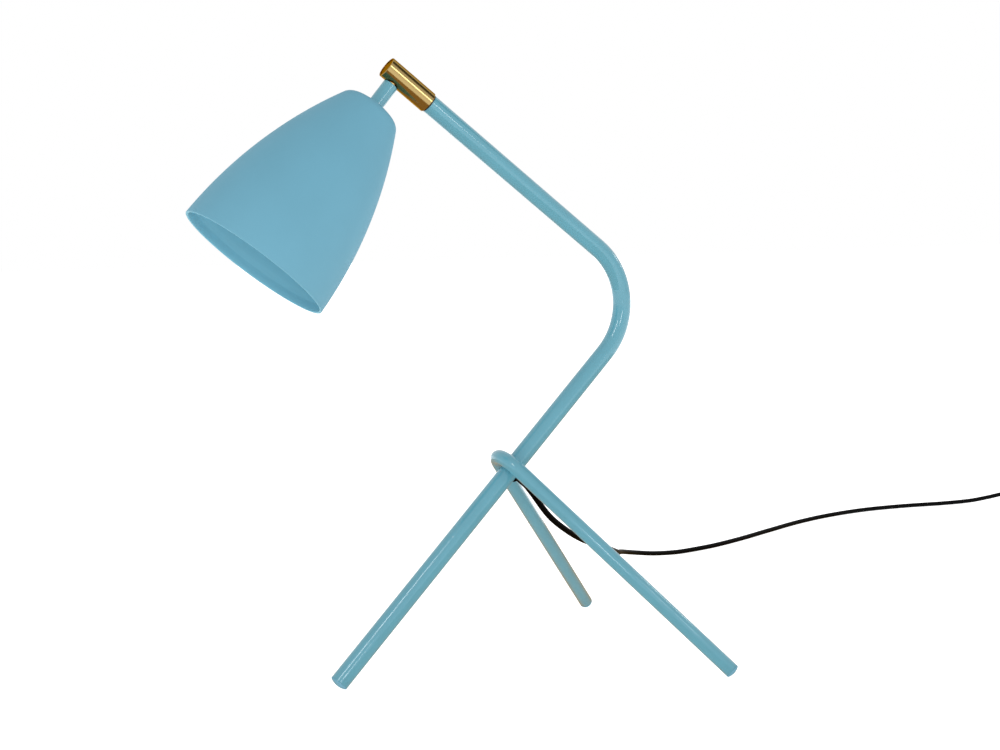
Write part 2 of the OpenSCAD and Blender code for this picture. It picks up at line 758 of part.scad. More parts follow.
function crown_point(y, z) =
    stem_joint + (z - shade_drop) * [cos(stem_slope), 0, sin(stem_slope)] + [0, y, 0];

module bulb_cap() color(steel) below_crown(bulb_from)
    difference() {
        union() {
            translate([0, 0, 1.6]) cylinder(d = screw_cap_d, h = screw_cap_h - 1.6);
            cylinder(r1 = 3.6, r2 = screw_cap_d / 2, h = 1.6);
        }
        translate([0, 0, 2.4]) cylinder(d = screw_cap_d - 1.2, h = screw_cap_h);
    }

module bulb_contact() color(brass) below_crown(bulb_from - 1.2)
    cylinder(r1 = 1.6, r2 = 2.4, h = 1.2);

// Half of the globe's outline: a neck that swells into a ball
module globe_outline(inset) {
    reach = globe_centre - globe_from;
    tilt = asin((globe_r - inset) / norm([reach, globe_neck_r - inset]))
        - atan2(globe_neck_r - inset, reach);
    intersection() {
        translate([0, reach]) circle(r = globe_r - inset, $fn = 120);
        translate([0, 0]) square([globe_r, reach + globe_r]);
    }
    polygon([
        [0, 0], [globe_neck_r - inset, 0],
        [(globe_r - inset) * cos(tilt), reach - (globe_r - inset) * sin(tilt)], [0, reach]
    ]);
}

module bulb_globe() color(opal) below_crown(globe_from)
    rotate_extrude()
        difference() {
            globe_outline(0);
            intersection() {
                globe_outline(globe_wall);
                translate([0, globe_wall]) square([globe_r, bulb_len]);
            }
            // the neck's foot stands on the rim of the screw cap
            translate([0, -over]) square([screw_cap_d / 2 - 1, globe_wall + 2 * over]);
        }

// ---------------------------------------------------------------- cord

module cord_lead() color(black)
    sweep([for (p = curve(lead_route, 3)) [p[0], p[1], max(p[2], cord_r)]], cord_r, 8);

module cord_link() color(black) sweep(curve(link_route, 1), cord_r, 8);

module cord_end() color(black) sweep(curve(end_route, 2), cord_r, 8);

// Two layers: the turns spiral in, climb a layer in the half turn in the middle, and
// spiral out again on top
function ease(t) = let (s = min(max(t, 0), 1)) s * s * (3 - 2 * s);
function coil_point(a) =
    let (
        middle = coil_turns / 2,
        r = coil_r - turn_pitch * min(a, coil_turns - a),
        z = coil_z + turn_pitch * ease((a - middle + 0.25) / 0.5)
    )
    coil_centre + [r * cos(360 * a), -r * sin(360 * a), z];
coil_path = concat(
    [coil_start],
    [for (k = [0 : 24 * coil_turns]) coil_point(k / 24)],
    [coil_finish]
);
// the least gap of the coil to itself, past its own neighbouring rings
coil_gap = min([for (i = [0 : len(coil_path) - 1], k = [i + 6 : 1 : len(coil_path) - 1])
    norm(coil_path[i] - coil_path[k])]) - cord_d;

module cord_coil() {
    echo(coil_gap = coil_gap);
    color(black) sweep(coil_path, cord_r, 6);
}

module coil_tie() color(black) {
    inner = coil_r - turn_pitch * coil_turns / 2 - cord_r - 0.5;
    outer = coil_r - turn_pitch / 2 + cord_r + 0.5;
    high = coil_z + turn_pitch + cord_r + 0.1;
    translate(coil_centre + [-outer, -4.5, 0])
        difference() {
            translate([-tie_t, 0, 0]) cube([outer - inner + 2 * tie_t, 9, high + tie_t]);
            translate([0, -over, tie_t]) cube([outer - inner, 9 + 2 * over, high - tie_t]);
        }
}

// ---------------------------------------------------------------- switch on the cord

// Plan of the switch, drawn in by inset
module switch_plan(inset) {
    half = [switch_len / 2 - inset, switch_w / 2 - inset];
    cut = 5 - inset / 2;
    polygon([
        [half[0], half[1] - cut], [half[0] - cut, half[1]],
        [-half[0] + cut, half[1]], [-half[0], half[1] - cut],
        [-half[0], -half[1] + cut], [-half[0] + cut, -half[1]],
        [half[0] - cut, -half[1]], [half[0], -half[1] + cut]
    ]);
}
screw_x = switch_len / 2 - 11;
screw_y = switch_w / 2 - 6;

module cord_holes() for (side = [-1, 1])
    translate([side * (switch_len / 2 - 8), 0, cord_z]) rotate([0, side * 90, 0])
        cylinder(r = cord_r + 0.1, h = 10);

module screw_places() for (side = [-1, 1])
    translate([side * screw_x, side * screw_y, 0]) children();

module switch_base() color(black) translate(switch_at)
    difference() {
        union() {
            difference() {
                linear_extrude(switch_base_h) switch_plan(0);
                translate([0, 0, shell_wall]) linear_extrude(switch_base_h)
                    switch_plan(shell_wall);
            }
            screw_places() cylinder(r = 3, h = switch_base_h);
        }
        cord_holes();
        screw_places() translate([0, 0, -over]) cylinder(r = 1.4, h = switch_base_h + 2 * over);
        screw_places() translate([0, 0, -0.01]) cylinder(r1 = 2.7, r2 = 1.4, h = 1.6);
    }

module switch_cover() color(black) translate(switch_at + [0, 0, switch_base_h])
    difference() {
        union() {
            difference() {
                intersection() {
                    linear_extrude(switch_cover_h) switch_plan(0);
                    // the lid slopes down towards the cords
                    translate([0, switch_w, 0]) rotate([90, 0, 0])
                        linear_extrude(2 * switch_w) polygon([
                            [-switch_len / 2, 0], [switch_len / 2, 0],
                            [switch_len / 2, switch_cover_h - 3],
                            [window_half + 4, switch_cover_h],
                            [-window_half - 4, switch_cover_h],
                            [-switch_len / 2, switch_cover_h - 3]
                        ]);
                }
                translate([0, 0, -over])
                    linear_extrude(over + switch_cover_h - 3 - shell_wall)
                        switch_plan(shell_wall);
                translate([-window_half - 2, -rocker_half_w - body_gap - cheek_t, -over])
                    cube([
                        2 * window_half + 4, 2 * (rocker_half_w + body_gap + cheek_t),
                        over + switch_cover_h - shell_wall
                    ]);
            }
            // cheeks that carry the rocker's pins
            for (side = [-1, 1])
                translate([
                    -3.4, side * (rocker_half_w + body_gap + cheek_t / 2) - cheek_t / 2,
                    pivot_z - switch_base_h - 3.4
                ])
                    cube([6.8, cheek_t, switch_base_h + switch_cover_h - pivot_z + 3.4 - 0.6]);
            screw_places() cylinder(r = 3, h = switch_cover_h - 3);
        }
        translate([-window_half, -rocker_half_w - body_gap, -over])
            cube([2 * window_half, 2 * (rocker_half_w + body_gap), switch_cover_h + 2 * over]);
        translate([0, -switch_w / 2, pivot_z - switch_base_h]) rotate([-90, 0, 0])
            translate([0, 0, switch_w / 2 - rocker_half_w - body_gap - cheek_t - 0.01])
                cylinder(r = pivot_r + run_gap, h = 2 * (rocker_half_w + body_gap + cheek_t) + 0.02);
        translate([0, 0, -switch_base_h]) cord_holes();
        screw_places() translate([0, 0, -over]) cylinder(r = 1.2, h = 5);
    }

module switch_screws() color(steel) translate(switch_at) screw_places() {
    difference() {
        translate([0, 0, 0.1]) cylinder(r1 = 2.6, r2 = 1.15, h = 1.5);
        translate([-0.3, -3, -0.5]) cube([0.6, 6, 1.2]);
    }
    translate([0, 0, 1.2]) cylinder(r = 1.15, h = switch_base_h + 2);
}

// Two brass blocks on the floor of the base, one for each end of the switched wire
module switch_terminals() color(brass) translate(switch_at)
    for (side = [-1, 1]) translate([side * terminal_x, 0, shell_wall])
        difference() {
            translate([-terminal_half, -4, 0]) cube([2 * terminal_half, 8, 3]);
            translate([0, 0, -over]) cylinder(r = 1.3, h = 6);
        }

// A strip that springs from one block to the other under the rocker's foot
module switch_contact() color(brass) translate(switch_at)
    rotate([90, 0, 0]) linear_extrude(5, center = true) polygon([
        [-15, 4.8], [-9, 4.8], [-4.2, 6.9], [4.2, 6.9], [9.6, 5.2],
        [9.8, 5.6], [4.3, 7.4], [-4.3, 7.4], [-9.2, 5.3], [-15, 5.3]
    ]);

// The switched wire's two ends, and the other wire that goes straight through
module switch_wires() color([0.25, 0.35, 0.75]) translate(switch_at) {
    from = switch_len / 2 - cord_hold;
    for (side = [-1, 1]) sweep([
        [side * from, -1.2, cord_z], [side * (from - 1), -1.2, cord_z],
        [side * (from - 4), -1.4, 7.4], [side * 19, -1, 4.4],
        [side * 17.2, 0, 3.3], [side * (terminal_x + terminal_half + 0.02), 0, 3.3]
    ], wire_r, 8, [0, 1, 0]);
    sweep([
        [-from, 1.2, cord_z], [1 - from, 1.2, cord_z], [-22, 2.2, 7.4], [-18, 5, 4.5],
        [-14, 7.4, 3.2], [-8, 7.6, 2.9], [8, 7.6, 2.9], [13, 7.2, 3.4], [17, 3.4, 5.2],
        [22, 1.6, 7.6], [from - 1, 1.2, cord_z], [from, 1.2, cord_z]
    ], wire_r, 8);
}

module switch_reliefs() color(black) translate(switch_at) for (side = [-1, 1])
    translate([side * switch_len / 2, 0, cord_z]) rotate([0, side * 90, 0])
        difference() {
            cylinder(r1 = relief_r, r2 = relief_tip_r, h = relief_len);
            translate([0, 0, -over]) cylinder(r = cord_r + 0.1, h = relief_len + 2 * over);
        }

// Drawn with its left end pressed in
module switch_rocker() color([0.16, 0.16, 0.17])
    translate(switch_at + [0, 0, pivot_z]) rotate([0, -rocker_tilt, 0]) {
        edge = crown_h + rocker_r * tan(rocker_tilt);
        intersection() {
            rotate([90, 0, 0]) cylinder(r = rocker_r, h = 2 * rocker_half_w, center = true);
            rotate([90, 0, 0]) linear_extrude(2 * rocker_half_w, center = true) polygon([
                [-rocker_r, edge], [0, crown_h], [rocker_r, edge],
                [rocker_r, 0.6], [3, -1.8], [1.4, -5], [-1.4, -5], [-3, -1.8],
                [-rocker_r, 0.6]
            ]);
        }
        rotate([90, 0, 0]) cylinder(
            r = pivot_r, h = 2 * (rocker_half_w + body_gap + cheek_t) - 0.6, center = true
        );
    }

// ---------------------------------------------------------------- plug

// z runs from the cord's end towards the pins
module on_plug()
    translate([coil_finish[0], plug_from, plug_z]) rotate([90, 0, 0]) children();

module plug_body() color(black) on_plug()
    difference() {
        intersection() {
            rotate([90, 0, 0]) linear_extrude(plug_t, center = true) polygon([
                [-plug_tail_w / 2, 0], [plug_tail_w / 2, 0], [plug_tail_w / 2 + 1, 9],
                [plug_w / 2, 18], [plug_w / 2, plug_len], [-plug_w / 2, plug_len],
                [-plug_w / 2, 18], [-plug_tail_w / 2 - 1, 9]
            ]);
            linear_extrude(plug_len) polygon([
                [-plug_w / 2, -2], [-plug_w / 2 + 5, -plug_t / 2],
                [plug_w / 2 - 5, -plug_t / 2], [plug_w / 2, -2],
                [plug_w / 2, 2], [plug_w / 2 - 5, plug_t / 2],
                [-plug_w / 2 + 5, plug_t / 2], [-plug_w / 2, 2]
            ]);
        }
        translate([0, 0, -over]) cylinder(r = cord_r + 0.1, h = cord_hold + over);
        for (side = [-1, 1]) translate([side * pin_pitch / 2, 0, plug_len - pin_root])
            cylinder(d = pin_root_d + 2 * seat_gap, h = pin_root + over);
    }

module plug_boot() color(black) on_plug() translate([0, 0, -boot_len])
    difference() {
        cylinder(r1 = relief_tip_r, r2 = plug_tail_w / 2 - 1.6, h = boot_len);
        translate([0, 0, -over]) cylinder(r = cord_r + 0.1, h = boot_len + 2 * over);
    }

module plug_pins() color(steel) on_plug()
    for (side = [-1, 1]) translate([side * pin_pitch / 2, 0, plug_len - pin_root]) {
        cylinder(d = pin_root_d, h = pin_root);
        translate([0, 0, pin_root]) cylinder(d = pin_d, h = pin_len - pin_d / 2);
        translate([0, 0, pin_root + pin_len - pin_d / 2]) sphere(d = pin_d);
    }

// ---------------------------------------------------------------- nodes

main_tube();
rear_legs();
leg_weld();
front_foot();
rear_feet();
arm_spindle();
swivel_washer();
friction_ring();
cord_grommet();
inner_flex();
knuckle_sleeve();
knuckle_cap();
stop_screw();
stem_nipple();
stem_tube();
shade();
crown_washer();
crown_nut();
holder_cap();
holder_skirt();
holder_core();
holder_shell();
centre_contact();
terminal_screws();
core_wires();
bulb_cap();
bulb_contact();
bulb_globe();
cord_lead();
cord_link();
cord_coil();
cord_end();
coil_tie();
switch_base();
switch_cover();
switch_screws();
switch_terminals();
switch_contact();
switch_wires();
switch_reliefs();
switch_rocker();
plug_body();
plug_boot();
plug_pins();
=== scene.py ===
"""Looks of the tripod table lamp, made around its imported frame.

Pieces are measured in millimetres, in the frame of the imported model, and turned to metres
when their mesh is made. The lamp stands on z = 0, its arm reaches towards -X and XZ is its
plane of symmetry.
"""

import json
import logging
import math
from dataclasses import dataclass, replace
from enum import Enum
from typing import Iterable, Sequence

import bmesh
import bpy
from mathutils import Matrix, Vector
from mathutils.geometry import interpolate_bezier

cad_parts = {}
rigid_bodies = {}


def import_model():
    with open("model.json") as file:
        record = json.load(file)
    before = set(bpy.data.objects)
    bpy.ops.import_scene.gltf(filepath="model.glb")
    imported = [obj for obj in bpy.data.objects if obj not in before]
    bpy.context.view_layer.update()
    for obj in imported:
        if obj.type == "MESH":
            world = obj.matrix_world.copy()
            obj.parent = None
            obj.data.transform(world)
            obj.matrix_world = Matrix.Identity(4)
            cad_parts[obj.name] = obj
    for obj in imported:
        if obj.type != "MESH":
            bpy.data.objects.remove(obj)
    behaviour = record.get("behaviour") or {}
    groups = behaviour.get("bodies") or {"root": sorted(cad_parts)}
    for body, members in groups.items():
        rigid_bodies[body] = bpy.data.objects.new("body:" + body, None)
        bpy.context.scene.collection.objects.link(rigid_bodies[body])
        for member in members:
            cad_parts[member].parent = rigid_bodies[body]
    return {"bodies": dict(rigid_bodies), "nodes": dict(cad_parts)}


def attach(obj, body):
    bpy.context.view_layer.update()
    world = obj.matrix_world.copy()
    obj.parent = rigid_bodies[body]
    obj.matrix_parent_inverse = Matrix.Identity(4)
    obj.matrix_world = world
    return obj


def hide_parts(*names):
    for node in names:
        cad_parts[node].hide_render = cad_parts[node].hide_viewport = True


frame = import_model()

LOG = logging.getLogger("lamp")
MM = 0.001
UP = Vector((0, 0, 1))
ARM_SLOPE = 38.0
STEM_SLOPE = 50.0
TUBE_SIDES = 64
DEBURRED = 0.22

Colour = tuple[float, float, float]
Profile = Sequence[tuple[float, float, float]]


class Body(str, Enum):
    """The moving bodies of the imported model."""

    STAND = "stand"
    HEAD = "head"
    ROCKER = "rocker"


# ------------------------------------------------------------------ nodes


class Sock:
    """An output socket whose arithmetic adds Math nodes to its tree."""

    def __init__(self, kit: "NodeKit", socket: bpy.types.NodeSocket) -> None:
        self.kit = kit
        self.socket = socket

    def __getitem__(self, name: str) -> "Sock":
        """Another output of the same node."""
        return Sock(self.kit, self.socket.node.outputs[name])

    def __add__(self, other: "Sock | float") -> "Sock":
        """This plus other."""
        return self.kit.maths("ADD", self, other)

    def __radd__(self, other: float) -> "Sock":
        """A number plus this."""
        return self.kit.maths("ADD", other, self)

    def __sub__(self, other: "Sock | float") -> "Sock":
        """This less other."""
        return self.kit.maths("SUBTRACT", self, other)

    def __rsub__(self, other: float) -> "Sock":
        """A number less this."""
        return self.kit.maths("SUBTRACT", other, self)

    def __mul__(self, other: "Sock | float") -> "Sock":
        """This times other."""
        return self.kit.maths("MULTIPLY", self, other)

    def __rmul__(self, other: float) -> "Sock":
        """A number times this."""
        return self.kit.maths("MULTIPLY", other, self)

    def __truediv__(self, other: "Sock | float") -> "Sock":
        """This over other."""
        return self.kit.maths("DIVIDE", self, other)


class NodeKit:
    """Adds nodes to one shader or geometry tree."""

    def __init__(self, tree: bpy.types.NodeTree) -> None:
        """Works on the given tree."""
        self.tree = tree

    def node(
        self,
        kind: str,
        settings: dict[str, object] | None = None,
        inputs: dict[str | int, object] | None = None,
        output: str | int = 0,
    ) -> Sock | None:
        """Adds a node of any type.

        Args:
            kind: The node's type.
            settings: Attributes that are set before the sockets; "stops" are a ramp's
                positions and greys.
            inputs: Values or links, by a socket's name or number.
            output: The output that is wanted.

        Returns:
            That output, or None for a node that has none.
        """
        made = self.tree.nodes.new(kind)
        for name, value in (settings or {}).items():
            if name == "stops":
                ramp = made.color_ramp.elements
                for stop, (at, grey) in zip((ramp[0], ramp[1]), value):
                    stop.position = at
                    stop.color = (grey, grey, grey, 1)
            else:
                setattr(made, name, value)
        for key, value in (inputs or {}).items():
            target = made.inputs[key]
            if isinstance(value, Sock):
                self.tree.links.new(value.socket, target)
            else:
                target.default_value = value
        return Sock(self, made.outputs[output]) if len(made.outputs) else None

    def maths(self, operation: str, first: Sock | float, second: Sock | float) -> Sock:
        """Adds a Math node on two values."""
        return self.node("ShaderNodeMath", {"operation": operation}, {0: first, 1: second})

    def noise(self, place: Sock, scale: float, detail: float = 2.0) -> Sock:
        """Adds a Noise node and returns its value, about 0.5 on average.

        Args:
            place: Where it is read.
            scale: Cells to the metre.
            detail: How many finer layers it has.
        """
        return self.node(
            "ShaderNodeTexNoise", {}, {"Vector": place, "Scale": scale, "Detail": detail}
        )

    def step(self, value: Sock, low: float, high: float) -> Sock:
        """Adds a Map Range that rises from 0 at low to 1 at high.

        Args:
            value: What is compared.
            low: Where the step starts.
            high: Where it is over.

        Returns:
            The step, from 0 to 1.
        """
        return self.node(
            "ShaderNodeMapRange",
            {"interpolation_type": "SMOOTHSTEP"},
            {"Value": value, "From Min": low, "From Max": high},
        )

    def blend(self, share: Sock | float, first: object, second: object) -> Sock:
        """Adds a Mix node on two colours."""
        return self.node(
            "ShaderNodeMix", {"data_type": "RGBA"}, {0: share, 6: first, 7: second}, 2
        )


def linear(colour: Colour, shade: float = 1.0) -> tuple[float, float, float, float]:
    """A screen colour as a linear one.

    Args:
        colour: Red, green and blue from 0 to 1, as a screen shows them.
        shade: What the linear colour is multiplied by.

    Returns:
        Linear red, green, blue and an alpha of 1.
    """
    parts = [c / 12.92 if c <= 0.04045 else ((c + 0.055) / 1.055) ** 2.4 for c in colour]
    return (*(min(1.0, shade * c) for c in parts), 1.0)


def blank(owners: bpy.types.bpy_prop_collection, name: str) -> tuple[bpy.types.ID, NodeKit]:
    """Makes a material or world with an empty tree.

    Args:
        owners: Blender's materials or worlds.
        name: Its name.
    """
    made = owners.new(name)
    made.use_nodes = True
    made.node_tree.nodes.clear()
    return made, NodeKit(made.node_tree)


def slanted(slope: float, sign: int = 1) -> tuple[float, float, float]:
    """A direction in the plane of symmetry, sloping up towards sign along X."""
    return (sign * math.cos(math.radians(slope)), 0.0, math.sin(math.radians(slope)))


# ------------------------------------------------------------------ finishes


@dataclass(frozen=True)
class Finish:
    """A moulded, painted or sheathed surface with its own fine texture.

    Attributes:
        name: The material's name.
        slot: The material slot of the record that it belongs to; not used.
        colour: Its screen colour.
        roughness: Roughness on average.
        uneven: How far the roughness strays from that.
        mottle: How far the colour strays, as a share.
        patch: Size of the slow patches, in millimetres.
        grain: Size of the finest bumps, in millimetres.
        height: Height of those bumps, in millimetres.
        fixed: Other sockets that are the same all over.
    """

    name: str
    slot: str
    colour: Colour
    roughness: float
    uneven: float = 0.06
    mottle: float = 0.05
    patch: float = 30.0
    grain: float = 0.8
    height: float = 0.01
    fixed: tuple[tuple[str, object], ...] = ()

    def material(self) -> bpy.types.Material:
        """Builds the material, or gives back the one that was built.

        Returns:
            The material.
        """
        known = bpy.data.materials.get(self.name)
        if known is not None:
            return known
        made, kit = blank(bpy.data.materials, self.name)
        place = kit.node("ShaderNodeTexCoord", output="Object")
        shader = kit.node(
            "ShaderNodeBsdfPrincipled",
            inputs={
                "Base Color": self.tint(kit, place),
                "Roughness": self.gloss(kit, place),
                "Normal": kit.node(
                    "ShaderNodeBump",
                    inputs={
                        "Strength": 1.0,
                        "Distance": self.height * MM,
                        "Height": self.relief(kit, place),
                    },
                ),
                **dict(self.fixed),
            },
        )
        kit.node("ShaderNodeOutputMaterial", inputs={"Surface": shader})
        return made

    def tint(self, kit: NodeKit, place: Sock) -> Sock:
        """The colour: slow patches a little darker and lighter.

        Args:
            kit: Adds nodes to the material's tree.
            place: Where the surface is read.

        Returns:
            The base colour.
        """
        return kit.blend(
            kit.step(kit.noise(place, 1 / (self.patch * MM), 3), 0.3, 0.7),
            linear(self.colour, 1 - self.mottle),
            linear(self.colour, 1 + self.mottle),
        )

    def gloss(self, kit: NodeKit, place: Sock) -> Sock:
        """The roughness: handled patches are a little smoother."""
        return self.roughness + (kit.noise(place, 3 / (self.patch * MM), 4) - 0.5) * (
            2 * self.uneven
        )

    def relief(self, kit: NodeKit, place: Sock) -> Sock:
        """The height of the surface, from 0 to 1."""
        return kit.noise(place, 1 / (self.grain * MM), 1)


@dataclass(frozen=True)
class Enamel(Finish):
    """Sprayed paint on metal, with dust specks under it and scuffs low on the stand.

    Attributes:
        scuff_top: Height under which the paint is scuffed, in millimetres.
        scuff_cells: Cells of the scuffs' noise to the metre, and dust_cells of the dust's.
        scuffed: Screen colour of the scuffs, and scuff_share how much of it shows.
    """

    scuff_top: float = 14.0
    scuff_cells: float = 700.0
    dust_cells: float = 260.0
    scuffed: Colour = (0.36, 0.50, 0.57)
    scuff_share: float = 0.5

    def tint(self, kit: NodeKit, place: Sock) -> Sock:
        """The paint's colour, greyed where the stand is scuffed.

        Args:
            kit: Adds nodes to the material's tree.
            place: Where the surface is read.

        Returns:
            The base colour.
        """
        clean = Finish.tint(self, kit, place)
        height = kit.node("ShaderNodeSeparateXYZ", inputs={0: place}, output="Z")
        low = 1 - kit.step(height, 0.35 * self.scuff_top * MM, self.scuff_top * MM)
        marks = kit.step(kit.noise(place, self.scuff_cells, 4), 0.56, 0.66)
        return kit.blend(low * marks * self.scuff_share, clean, linear(self.scuffed))

    def relief(self, kit: NodeKit, place: Sock) -> Sock:
        """Orange peel with a few dust specks.

        Args:
            kit: Adds nodes to the material's tree.
            place: Where the surface is read.

        Returns:
            The surface's height, from 0 upwards.
        """
        peel = Finish.relief(self, kit, place)
        dust = kit.step(kit.noise(place, self.dust_cells, 0), 0.80, 0.84)
        return peel + dust * 1.5


@dataclass(frozen=True)
class Turned(Finish):
    """Metal that was turned, so that its marks run round an axis.

    Attributes:
        axis: Direction of the axis.
        ring: Spacing of the turning marks, in millimetres.
        stain: Screen colour of the tarnished patches.
        stained: How much of it shows, from 0 to 1.
    """

    axis: tuple[float, float, float] = (0.0, 0.0, 1.0)
    ring: float = 0.35
    stain: Colour = (0.45, 0.36, 0.20)
    stained: float = 0.25

    def marks(self, kit: NodeKit, place: Sock) -> Sock:
        """The turning marks, from 0 to 1, the same all round the axis.

        Args:
            kit: Adds nodes to the material's tree.
            place: Where the surface is read.

        Returns:
            The marks.
        """
        along = kit.node(
            "ShaderNodeVectorMath", {"operation": "DOT_PRODUCT"}, {0: place, 1: self.axis}, "Value"
        )
        return kit.node(
            "ShaderNodeTexNoise",
            {"noise_dimensions": "1D"},
            {"W": along, "Scale": 1 / (self.ring * MM), "Detail": 3.0},
        )

    def tint(self, kit: NodeKit, place: Sock) -> Sock:
        """Metal with faint stains that gather in the marks.

        Args:
            kit: Adds nodes to the material's tree.
            place: Where the surface is read.

        Returns:
            The base colour.
        """
        clean = Finish.tint(self, kit, place)
        cloud = kit.step(kit.noise(place, 1 / (self.patch * MM), 5), 0.45, 0.75)
        share = cloud * (0.5 + 0.5 * self.marks(kit, place)) * self.stained
        return kit.blend(share, clean, linear(self.stain))

    def gloss(self, kit: NodeKit, place: Sock) -> Sock:
        """Roughness that follows the marks."""
        return Finish.gloss(self, kit, place) + (self.marks(kit, place) - 0.5) * self.uneven

    def relief(self, kit: NodeKit, place: Sock) -> Sock:
        """Marks round the axis, with a little grain across them."""
        return self.marks(kit, place) * 0.85 + Finish.relief(self, kit, place) * 0.15


@dataclass(frozen=True)
class Spun(Turned):
    """Powder coat over spun sheet: orange peel over the faint rings of the spinning.

    Attributes:
        inside: Screen colour painted on the faces where the mesh's own attribute of that
        name is 1: a lighter copy of the coat, painted light for the inside of the shade.
    """

    # painted light: lighter than the coat's own colour, to brighten the inside of the shade
    inside: Colour = (0.53, 0.785, 0.865)

    def tint(self, kit: NodeKit, place: Sock) -> Sock:
        """The coat's colour, with the painted-lighter inside colour where the mesh says so."""
        # painted light: the inner faces take the lighter copy of the coat's colour
        share = kit.node("ShaderNodeAttribute", {"attribute_name": "inside"}, output="Fac")
        return kit.blend(share, Finish.tint(self, kit, place), linear(self.inside))

    def relief(self, kit: NodeKit, place: Sock) -> Sock:
        """Fine peel over slow rings."""
        return Finish.relief(self, kit, place) * 0.8 + self.marks(kit, place) * 0.2


@dataclass(frozen=True)
class Wires(Finish):
    """Two insulated wires side by side, one of each colour.

    Attributes:
        second: Screen colour of the wires on the far side.
        plane: Where the one colour gives way to the other, in millimetres along Y.
    """

    second: Colour = (0.25, 0.35, 0.75)
    plane: float = 0.0

    def tint(self, kit: NodeKit, place: Sock) -> Sock:
        """One colour on each side of the plane.

        Args:
            kit: Adds nodes to the material's tree.
            place: Where the surface is read.

        Returns:
            The base colour.
        """
        across = kit.node("ShaderNodeSeparateXYZ", inputs={0: place}, output="Y")
        far = kit.maths("GREATER_THAN", across, self.plane * MM)
        return kit.blend(far, Finish.tint(self, kit, place), linear(self.second))


ARM_AXIS = slanted(ARM_SLOPE, -1)
STEM_AXIS = slanted(STEM_SLOPE)
BLUE = (0.435, 0.675, 0.765)
GLOSSY_BLUE = (0.380, 0.650, 0.722)
METAL = (("Metallic", 1.0),)
BRASS_GRAZED = (("Specular Tint", linear((0.74, 0.58, 0.30))),)
COATED = (("Specular IOR Level", 0.2), ("Coat Weight", 1.0), ("Coat Roughness", 0.05))

GLOSS_ENAMEL = Enamel(
    "lamp_gloss_enamel", "enamel_tube", GLOSSY_BLUE, 0.40, mottle=0.02, grain=5.0,
    height=0.00015, fixed=COATED,
)
STEM_ENAMEL = replace(GLOSS_ENAMEL, name="lamp_stem_enamel", scuff_top=0.01)
SHADE_COAT = Spun(
    "lamp_shade_coat", "enamel_shade", BLUE, 0.62, mottle=0.02, patch=60, grain=0.7,
    height=0.012, axis=STEM_AXIS, ring=4.0, fixed=(("Specular IOR Level", 0.35),),
)
FOOT_PLASTIC = Enamel(
    "lamp_foot_plastic", "foot_plastic", BLUE, 0.38, mottle=0.03, grain=0.5, scuff_top=5.0
)
POLISHED_BRASS = Turned(
    "lamp_polished_brass", "brass_polished", (0.65, 0.56, 0.37), 0.14, uneven=0.02,
    patch=14, grain=0.5, height=0.00005, axis=ARM_AXIS, ring=0.30, stain=(0.42, 0.30, 0.12),
    fixed=METAL + BRASS_GRAZED,
)
TURNED_BRASS = Turned(
    "lamp_turned_brass", "brass_turned", (0.80, 0.68, 0.42), 0.30, patch=8, grain=0.2,
    height=0.004, axis=STEM_AXIS, ring=0.25, fixed=METAL,
)
TURNED_STEEL = replace(
    TURNED_BRASS, name="lamp_turned_steel", slot="steel_turned", colour=(0.74, 0.75, 0.77),
    roughness=0.32, axis=ARM_AXIS, stain=(0.42, 0.40, 0.38),
)
NICKEL = Turned(
    "lamp_nickel", "nickel_plate", (0.80, 0.79, 0.76), 0.20, patch=6, grain=0.2,
    height=0.002, axis=(0.0, 1.0, 0.0), ring=0.3, stain=(0.50, 0.46, 0.40), fixed=METAL,
)
BULB_NICKEL = replace(NICKEL, name="lamp_bulb_nickel", roughness=0.26, axis=STEM_AXIS)
DARK_NYLON = Finish("lamp_dark_nylon", "nylon_dark", (0.10, 0.10, 0.11), 0.48, grain=0.4)
PALE_NYLON = Finish("lamp_pale_nylon", "nylon_natural", (0.90, 0.88, 0.82), 0.42, grain=0.4)
SHEATH = Finish(
    "lamp_cord_sheath", "cord_sheath", (0.010, 0.010, 0.011), 0.52, mottle=0.2, patch=18,
    grain=0.6, height=0.012, fixed=(("Specular IOR Level", 0.05),),
)
STRAP = Finish(
    "lamp_strap", "tie_plastic", (0.09, 0.09, 0.095), 0.80, mottle=0.2, patch=1.2,
    grain=0.35, height=0.12, fixed=(("Sheen Weight", 0.4),),
)
PHENOLIC = Finish(
    "lamp_phenolic", "phenolic", (0.10, 0.09, 0.085), 0.28, mottle=0.25, patch=3, grain=1.5,
    height=0.006, fixed=(("Coat Weight", 0.2), ("Coat Roughness", 0.15)),
)
CERAMIC = Finish(
    "lamp_ceramic", "ceramic_white", (0.93, 0.92, 0.89), 0.24, mottle=0.02, patch=4,
    grain=1.2, height=0.01, fixed=(("Coat Weight", 0.5), ("Coat Roughness", 0.05)),
)
OPAL = Finish(
    "lamp_opal_glass", "opal_glass", (0.96, 0.955, 0.93), 0.16, mottle=0.012, patch=20,
    grain=6, height=0.01,
    fixed=(("Subsurface Weight", 0.25), ("Subsurface Scale", 0.004), ("Coat Weight", 0.6)),
)
SPARKED = Finish(
    "lamp_sparked_plastic", "switch_plastic", (0.105, 0.105, 0.11), 0.50, mottle=0.1,
    patch=10, grain=0.28, height=0.03,
)
ROCKER_PLASTIC = Finish(
    "lamp_rocker_plastic", "rocker_plastic", (0.17, 0.17, 0.18), 0.30, mottle=0.06,
    patch=6, grain=0.5, height=0.006,
)
FLEX_WIRES = Wires("lamp_flex_wires", "wire_insulation", (0.45, 0.28, 0.14), 0.40)
SWITCH_WIRES = replace(FLEX_WIRES, name="lamp_switch_wires", plane=336.6)

